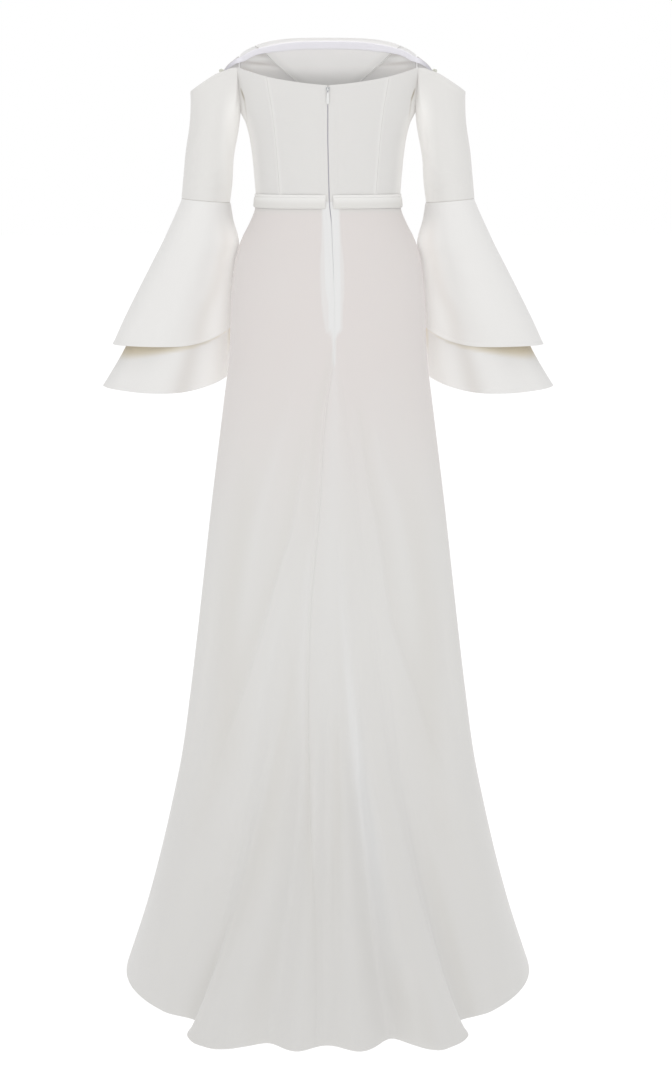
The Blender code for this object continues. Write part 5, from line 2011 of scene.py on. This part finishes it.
@dataclass
class Skirt:
    """The trumpet skirt: one front panel and two back panels that end in the train."""

    bodice: Bodice
    wall: float = 0.0012
    hem: float = -1.24
    seam_dip: float = 0.0005
    seam_width: float = 0.0012
    seam_start: Span = (-0.290, -0.255)
    seam_fade: Span = (-1.200, -1.060)
    strip_edge: float = 0.0014
    strip_out: float = 0.0003
    halo: float = 0.55
    allowance: Span = (0.0045, 0.0105)
    seam_pale: float = 0.35
    ridge_highlight: float = 0.8
    blush_top: float = -0.002
    blush_full: float = -0.026
    blush_low: float = -0.180
    blush_end: float = -0.640
    back_steps: int = 118
    front_steps: int = 132
    down_steps: int = 236
    edge_lines: Lines = (0.002, 0.005, 0.010, 0.018)
    end_lines: Span = (0.0010, 0.0025)
    back_cut: Cut = Cut(0.800, 1.420, 0.4330)
    front_cut: Cut = Cut(1.200, 1.270, 0.8770)

    def height(self, v: Array) -> Array:
        """Height of a cross line."""
        return between(-SEAM_GAP / 2, self.hem, v)

    def side_seam(self, side: Side, gap_side: int, v: Array) -> Line:
        """Edge down a side seam. The gap side is 1 if the panel lies at larger angles."""
        height = self.height(v)
        angle = np.full_like(height, side.value * QUARTER)
        return FORM.shifted(angle, height, gap_side * SEAM_GAP / 2), height

    def centre(self, side: Side, v: Array) -> Line:
        """Edge of a back panel down the zip and the centre seam."""
        height = self.height(v)
        return self.bodice.zip_side(side, height), height

    def strip(self, across: Array, height: Array, edges: str = "") -> Array:
        """How much of the zip's tape, or of its middle, lies under the cloth, from 0 to 1."""
        left, right = (ZIP_STRIP[edges + edge](height) for edge in ("left", "right"))
        end, full = ZIP_STRIP["left"].at[:2]
        from_left = 1 - soft_step(across, left - self.strip_edge, left + self.strip_edge)
        from_right = soft_step(across, right - self.strip_edge, right + self.strip_edge)
        return from_left * from_right * soft_step(height, end, full)

    def relief(
        self, zip_first: bool | None, first: Array, last: Array, angle: Array, height: Array
    ) -> Array:
        """Find how far a panel stands out.

        Args:
            zip_first: Whether the zip is at the first edge. None if the panel has no zip.
            first: Distances to the first edge.
            last: Distances to the last edge.
            angle: Angles round the body.
            height: Heights over the waist.

        Returns:
            How far each place stands out.
        """
        total = band_sum(BACK_FOLDS + FRONT_FOLDS, angle, height)
        opened = self.bodice.opened(height)
        seamed = (1 - soft_step(height, *self.seam_start)) * soft_step(height, *self.seam_fade)
        for distance, is_zip in ((first, zip_first is True), (last, zip_first is False)):
            dip = self.seam_dip * bell(distance, self.seam_width)
            if is_zip:
                total += self.bodice.placket(distance, height) * opened
                dip = dip * seamed
            total -= dip
        if zip_first is not None:
            across = FORM.outline(angle, height)[..., 0]
            total += self.strip_out * self.strip(across, height)
        return total

    @staticmethod
    def behind(bands: Sequence[Columns], points: Array) -> Array:
        """Sum of soft bands at points of the skirt's back."""
        height = points[:, 2]
        return band_sum(bands, FORM.angle_at(points[:, 0], height), height) * (points[:, 1] > 0)

    def tape_tint(self, points: Array) -> Array:
        """How much lighter the cloth is over the zip's tape and the seam allowances, and where a
        painted highlight runs along the ridges.
        """
        height = points[:, 2]
        halo, middle = (self.strip(points[:, 0], height, edges) for edges in ("", "middle_"))
        tape = (self.halo * halo + (1 - self.halo) * middle) * (points[:, 1] > 0)
        away = np.abs(points[:, 1] - LEVELS["widest"](height))
        seam = self.seam_pale * (1 - soft_step(away, *self.allowance))
        # Painted highlight along the ridges of the folds.
        ridges = self.behind(LIGHT_BANDS, points) * self.ridge_highlight
        return np.clip(np.maximum(np.maximum(tape, seam), ridges), 0, 1)

    def shade_tint(self, points: Array) -> Array:
        """How strong the painted shade along the fold valleys and on the flanks of the back is."""
        return np.clip(self.behind(DARK_BANDS, points), 0, 1)

    def blush_tint(self, points: Array) -> Array:
        """How much the skin-coloured lining shows through."""
        height = points[:, 2]
        upper = 1 - soft_step(height, self.blush_full, self.blush_top)
        lower = soft_step(height, self.blush_end, self.blush_low)
        return upper * lower

    def pieces(self) -> list[Cloth]:
        """Make the three panels."""
        tints = {"tape": self.tape_tint, "blush": self.blush_tint, "shade": self.shade_tint}
        down = spaced(self.down_steps, self.end_lines)
        left, right = Side.LEFT, Side.RIGHT
        right_front = partial(self.side_seam, right, -1)
        rows = (
            (
                "back_left", "back_centre_left", True, self.back_cut, self.back_steps,
                partial(self.centre, left), partial(self.side_seam, left, -1),
            ),
            (
                "back_right", "back_centre_right", False, self.back_cut, self.back_steps,
                partial(self.side_seam, right, 1), partial(self.centre, right),
            ),
            (
                "front", "front_centre", None, self.front_cut, self.front_steps,
                partial(self.side_seam, left, 1), partial(over_the_front, right_front),
            ),
        )
        return [
            Cloth(
                f"skirt_{name}", cut, spaced(steps, self.edge_lines), down,
                partial(panel_place, *edges, out=partial(self.relief, zip_first)), self.wall, SHEER,
                SHEER, Slot.SKIRT, hangs_from=(f"bodice_{carrier}",), tints=tints,
            )
            for name, carrier, zip_first, cut, steps, *edges in rows
        ]


class Bench:
    """A hard piece that is being modelled in edit mode, as by hand."""

    def __init__(self, name: str, add: Callable[..., object], **settings: object) -> None:
        """Add a primitive with nothing else selected, and open it for editing, selected all over.

        Args:
            name: Name of the piece.
            add: The operator that adds the primitive.
            settings: The operator's settings.
        """
        bpy.ops.object.select_all(action="DESELECT")
        add(**settings)
        self.made = bpy.context.active_object
        self.made.name = self.made.data.name = name
        bpy.ops.object.mode_set(mode="EDIT")
        bpy.ops.mesh.select_all(action="SELECT")

    def pick(self, test: Callable[[Vector, Vector], bool]) -> None:
        """Select the faces that pass a test on their middle and normal, and no others."""
        bpy.ops.mesh.select_mode(type="FACE")
        bpy.ops.mesh.select_all(action="DESELECT")
        shape = bmesh.from_edit_mesh(self.made.data)
        for face in shape.faces:
            if test(face.calc_center_median(), face.normal):
                face.select_set(True)
        bmesh.update_edit_mesh(self.made.data)

    def size(self, *value: float) -> None:
        """Scale what is selected about the origin."""
        bpy.ops.transform.resize(value=value, center_override=(0.0, 0.0, 0.0))

    def shift(self, *value: float) -> None:
        """Move what is selected."""
        bpy.ops.transform.translate(value=value)

    def draw(self, *value: float) -> None:
        """Extrude what is selected and move it."""
        bpy.ops.mesh.extrude_region_move(TRANSFORM_OT_translate={"value": value})

    def window(self, bar: float) -> None:
        """Open a window through what is selected, with a bar of this width round it."""
        bpy.ops.mesh.inset(thickness=bar)
        bpy.ops.mesh.bridge_edge_loops()

    def close(
        self, place: Sequence[float], finish: Finish, bevel: float, rounding: int = 1
    ) -> bpy.types.Object:
        """Move the piece to its place, leave edit mode, soften the edges and dress it.

        Args:
            place: Where the piece's origin goes.
            finish: Its finish.
            bevel: Width of the bevel on its edges.
            rounding: Levels of subdivision.

        Returns:
            The object, with its modifiers applied.
        """
        made = self.made
        bpy.ops.mesh.select_all(action="SELECT")
        self.shift(*place)
        bpy.ops.mesh.normals_make_consistent(inside=False)
        bpy.ops.object.mode_set(mode="OBJECT")
        soft = made.modifiers.new("soft_edges", "BEVEL")
        soft.width = bevel
        soft.segments = 2
        soft.limit_method = "ANGLE"
        if rounding:
            smooth = made.modifiers.new("rounding", "SUBSURF")
            smooth.levels = smooth.render_levels = rounding
        apply_modifiers(made)
        made.data.shade_smooth()
        made.data.materials.append(material_of(finish))
        return made


FACING = 0.9
PULL_OUTLINE = table(
    Bead, (0.0063, 0.0017), (0.0085, 0.00175), (0.0125, 0.00205), (0.017, 0.00238),
    (0.0205, 0.0025), (0.0224, 0.00225), (0.0236, 0.00165), (0.0242, 0.0008),
)


@dataclass
class Zip:
    """The centre back zip: its tape, its coil, the slider and the pull tab."""

    bodice: Bodice
    tape_width: float = 0.030
    tape_wall: float = 0.0010
    tape_clearance: float = 0.0005
    steps: Steps = (14, 140)
    tape_top_drop: float = 0.003
    tape_tail: float = 0.004
    tooth_pitch: float = 0.0014
    tooth_size: Triple = (0.0021, 0.0008, 0.0009)
    tooth_tip: Triple = (0.8, 1.0, 0.5)
    slider_height: float = 0.1828
    slider_size: Triple = (0.0064, 0.0017, 0.0060)
    slider_taper: float = 0.66
    slider_rim: float = 0.0010
    slider_recess: float = 0.0003
    bail_bar: float = 0.00080
    bail_window: float = 0.0015
    bail_length: float = 0.0044
    bail_width: float = 0.0012
    pull_thickness: float = 0.0008
    pull_window: float = 0.0055
    pull_rim: float = 0.0006
    pull_recess: float = 0.00012
    hard_bevel: float = 0.00018
    tape_cut: Cut = Cut(0.030, 0.425, 0.01275)

    @property
    def face(self) -> float:
        """Where along Y the slider's back lies."""
        return float(FORM.point(np.zeros(1), np.full(1, self.slider_height))[0, 1]) + SEAM_GAP

    @property
    def axis(self) -> Vector:
        """Middle of the pull tab's hinge."""
        out = self.slider_size[1] + self.bail_window / 2
        return Vector((0.0, self.face + out, self.slider_height))

    @property
    def inset(self) -> float:
        """How far the tape lies inside the cloth's outer face."""
        return self.bodice.wall + self.tape_clearance

    def tape_place(self, u: Array, v: Array) -> Array:
        """Place of the tape's outer face."""
        top = self.bodice.back_neck - self.tape_top_drop
        height = between(top, self.bodice.zip_end - self.tape_tail, v)
        aside = between(-self.tape_width / 2, self.tape_width / 2, u)
        return FORM.point(FORM.angle_at(CENTRE_BACK(height) + aside, height), height, -self.inset)

    def tape(self) -> Cloth:
        """Make the tape behind the slit."""
        return Cloth(
            "zip_tape", self.tape_cut, *map(spaced, self.steps), self.tape_place, self.tape_wall,
            LILAC, LILAC, Slot.TAPE,
            hangs_from=("bodice_back_centre_left", "bodice_back_centre_right"), soft_rim=FINE_RIM,
        )

    def coil(self) -> bpy.types.Object:
        """Make the row of teeth in the slit, from one tooth."""
        bench = Bench("zip_teeth", bpy.ops.mesh.primitive_cube_add, size=1)
        bench.size(*self.tooth_size)
        bench.pick(lambda middle, normal: normal.y > FACING)
        bench.size(*self.tooth_tip)
        tooth = bench.close((0.0, 0.0, 0.0), COIL, self.hard_bevel, 0)
        top = self.slider_height - self.slider_size[2] / 2
        heights = np.arange(top, self.bodice.zip_end, -self.tooth_pitch)
        angle = FORM.angle_at(CENTRE_BACK(heights), heights)
        row = FORM.point(angle, heights, self.tooth_size[1] / 2 - self.inset)
        repeat(tooth, row)
        return report(tooth, Body.GOWN, Slot.TAPE)

    def slider(self) -> list[bpy.types.Object]:
        """Make the slider's body and the bail on it."""
        depth = self.slider_size[1]
        bench = Bench("zip_slider_body", bpy.ops.mesh.primitive_cube_add, size=1)
        bench.size(*self.slider_size)
        bench.pick(lambda middle, normal: normal.z < -FACING)
        bench.size(self.slider_taper, 1.0, 1.0)
        bench.pick(lambda middle, normal: normal.y > FACING)
        bpy.ops.mesh.inset(thickness=self.slider_rim)
        bench.shift(0.0, -self.slider_recess, 0.0)
        place = (0.0, self.face + depth / 2, self.slider_height)
        body = bench.close(place, GREY_LACQUER, self.hard_bevel * 2)
        bail_depth = 2 * self.bail_bar + self.bail_window
        bench = Bench("zip_slider_bail", bpy.ops.mesh.primitive_cube_add, size=1)
        bench.size(self.bail_width, bail_depth, self.bail_length)
        bench.pick(lambda middle, normal: abs(normal.x) > FACING)
        bench.window(self.bail_bar)
        place = (0.0, self.face + depth - self.bail_bar + bail_depth / 2, self.slider_height)
        bail = bench.close(place, WHITE_LACQUER, self.hard_bevel, 0)
        return [report(body, Body.GOWN, Slot.ZIP, "zip_slider"), report(bail, Body.GOWN, Slot.ZIP)]

    def pull(self) -> bpy.types.Object:
        """Make the pull tab: a bar and two legs round the bail, and a rounded leaf."""
        bar = self.pull_thickness / 2
        first = PULL_OUTLINE[0]
        bench = Bench("zip_pull_tab", bpy.ops.mesh.primitive_cube_add, size=1)
        bench.size(2 * first.half_width, self.pull_thickness, first.down + bar)
        bench.shift(0.0, 0.0, (bar - first.down) / 2)
        bench.pick(lambda middle, normal: abs(normal.y) > FACING)
        bench.window(self.pull_thickness)
        bench.pick(lambda middle, normal: normal.z < -FACING and middle.z < -self.pull_window)
        for before, bead in zip(PULL_OUTLINE, PULL_OUTLINE[1:]):
            bench.draw(0.0, 0.0, before.down - bead.down)
            bench.size(bead.half_width / before.half_width, 1.0, 1.0)
        bench.pick(lambda middle, normal: abs(normal.y) > FACING and middle.z < -first.down)
        bpy.ops.mesh.inset(thickness=self.pull_rim, depth=-self.pull_recess)
        made = bench.close(self.axis, WHITE_LACQUER, self.hard_bevel * 0.8)
        return report(made, Body.PULL_TAB, Slot.ZIP, "zip_pull")


def repeat(made: bpy.types.Object, places: Array) -> None:
    """Replace a small mesh by copies of itself, one at each place, joined into one mesh."""
    mesh = made.data
    points = np.empty(len(mesh.vertices) * 3)
    mesh.vertices.foreach_get("co", points)
    points = points.reshape(-1, 3)
    all_points = (places[:, None, :] + points[None, :, :]).reshape(-1, 3)
    all_faces = [
        tuple(index + step * len(points) for index in polygon.vertices)
        for step in range(len(places))
        for polygon in mesh.polygons
    ]
    joined = bpy.data.meshes.new(mesh.name)
    joined.from_pydata(all_points.tolist(), [], all_faces)
    for material in mesh.materials:
        joined.materials.append(material)
    joined.shade_smooth()
    made.data = joined
    bpy.data.meshes.remove(mesh)


@dataclass
class Buttons:
    """A small pearly button at each end of the front neckline."""

    sleeves: Sleeves
    across: float = 0.1795
    half_width: float = 0.0044
    half_height: float = 0.0038
    flat_share: float = 0.62
    flat_facing: float = 0.999
    aside: float = 0.0010
    in_front: float = 0.0034
    rise: float = 0.0036
    foot_inset: float = 0.0007
    foot: float = 0.0006

    def piece(self, side: Side) -> bpy.types.Object:
        """Make the button on one side."""
        edge = self.sleeves.rim_point(np.full(1, self.across), True)[0]
        node = f"shoulder_button_{side.label}"
        bench = Bench(
            f"{node}_pearl", bpy.ops.mesh.primitive_uv_sphere_add, segments=40, ring_count=24,
            radius=self.half_width,
        )
        flat = self.half_height / self.half_width
        bench.size(1.0, flat, flat)
        level = self.half_height * self.flat_share
        bpy.ops.mesh.bisect(
            plane_co=(0, level, 0), plane_no=(0, 1, 0), clear_outer=True, use_fill=True
        )
        bench.pick(lambda middle, normal: normal.y > self.flat_facing)
        bpy.ops.mesh.inset(thickness=self.foot_inset)
        bench.draw(0.0, self.foot, 0.0)
        across = (edge[0] + self.aside) * side.value
        place = (across, edge[1] - self.in_front, edge[2] + self.rise)
        made = bench.close(place, BUTTON_PEARL, self.foot / 4, 0)
        return report(made, Body.GOWN, Slot.PEARL, node)


class Lamp(NamedTuple):
    """A large soft lamp: where it hangs, where it points, its size and its strength."""

    name: str
    place: Triple
    target: Triple
    size: float
    power: float


LAMPS = (
    Lamp("key_lamp", (-1.9, 3.2, 1.5), (0.0, 0.0, -0.1), 2.2, 15.2),
    Lamp("fill_lamp", (2.0, 3.0, 1.2), (0.0, 0.0, -0.2), 2.2, 13.3),
    Lamp("top_lamp", (0.0, 0.6, 2.6), (0.0, 0.0, 0.0), 2.0, 9.5),
    Lamp("front_lamp", (0.0, -3.4, 1.3), (0.0, 0.0, -0.2), 2.6, 22.8),
)


@dataclass
class Studio:
    """The camera at the photograph's angle, soft lamps, a white surround and a pale floor."""

    camera_place: Triple = (-0.01344, 4.5, 0.118)
    pitch: float = math.radians(8.781)
    lens: float = 88.597
    sensor: float = 36.0
    floor_height: float = -1.2420
    floor_size: float = 60.0
    floor_glow: float = 0.94
    floor_colour: Colour = (0.14, 0.14, 0.14)
    grain_scale: float = 6.0
    grain_shade: float = 0.98
    surround: float = 0.722

    def build(self) -> None:
        """Make everything round the gown."""
        self.camera()
        for lamp in LAMPS:
            self.lamp(lamp)
        self.world()
        self.floor()
        bpy.context.scene.view_settings.view_transform = "Standard"

    def camera(self) -> None:
        """Make the camera and use it."""
        data = bpy.data.cameras.new("camera")
        data.lens = self.lens
        data.sensor_width = self.sensor
        made = bpy.data.objects.new("camera", data)
        made.location = self.camera_place
        made.rotation_euler = (QUARTER - self.pitch, 0.0, math.pi)
        bpy.context.scene.collection.objects.link(made)
        bpy.context.scene.camera = made

    @staticmethod
    def lamp(lamp: Lamp) -> None:
        """Hang one lamp, unseen by the camera."""
        data = bpy.data.lights.new(lamp.name, "AREA")
        data.shape = "DISK"
        data.size = lamp.size
        data.energy = lamp.power
        made = bpy.data.objects.new(lamp.name, data)
        made.location = lamp.place
        aim = Vector(lamp.target) - Vector(lamp.place)
        made.rotation_euler = aim.to_track_quat("-Z", "Y").to_euler()
        made.visible_camera = False
        bpy.context.scene.collection.objects.link(made)

    def world(self) -> None:
        """Surround the scene with white, softer as a light than it looks."""
        world = bpy.data.worlds.new("surround")
        world.use_nodes = True
        nodes, links = world.node_tree.nodes, world.node_tree.links
        light = nodes["Background"]
        light.inputs["Color"].default_value = (1.0, 1.0, 1.0, 1.0)
        light.inputs["Strength"].default_value = self.surround
        seen = nodes.new("ShaderNodeBackground")
        seen.inputs["Color"].default_value = (1.0, 1.0, 1.0, 1.0)
        mix = nodes.new("ShaderNodeMixShader")
        path = nodes.new("ShaderNodeLightPath")
        links.new(path.outputs["Is Camera Ray"], mix.inputs["Fac"])
        links.new(light.outputs["Background"], mix.inputs[1])
        links.new(seen.outputs["Background"], mix.inputs[2])
        links.new(mix.outputs["Shader"], nodes["World Output"].inputs["Surface"])
        bpy.context.scene.world = world

    def floor(self) -> None:
        """Lay a pale floor under the hem."""
        bpy.ops.object.select_all(action="DESELECT")
        place = (0.0, 0.0, self.floor_height)
        bpy.ops.mesh.primitive_plane_add(size=self.floor_size, location=place)
        made = bpy.context.active_object
        made.name = "studio_floor"
        shader = Shader("pale_floor")
        grain = shader.noise(shader.object_place(), self.grain_scale)
        darker = tuple(channel * self.grain_shade for channel in self.floor_colour)
        base = shader.mix(grain, self.floor_colour, darker)
        made.data.materials.append(
            shader.finish(
                base_color=base, roughness=0.9, emission_color=(1.0, 1.0, 1.0, 1.0),
                emission_strength=self.floor_glow,
            )
        )


def main() -> None:
    """Build the studio and the gown round its frame."""
    logging.basicConfig(level=logging.INFO, format="%(message)s")
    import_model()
    Studio().build()
    bodice = Bodice()
    sleeves = Sleeves(bodice)
    zip_closure = Zip(bodice)
    cloths = [
        *bodice.panels(), *sleeves.pieces(), *Flounces(sleeves).pieces(), Belt().piece(),
        *Skirt(bodice).pieces(), NecklineTape(bodice, sleeves).piece(), zip_closure.tape(),
    ]
    for cloth in cloths:
        cloth.build()
    zip_closure.coil()
    zip_closure.slider()
    zip_closure.pull()
    buttons = Buttons(sleeves)
    for side in Side:
        buttons.piece(side)


if __name__ == "__main__":
    main()
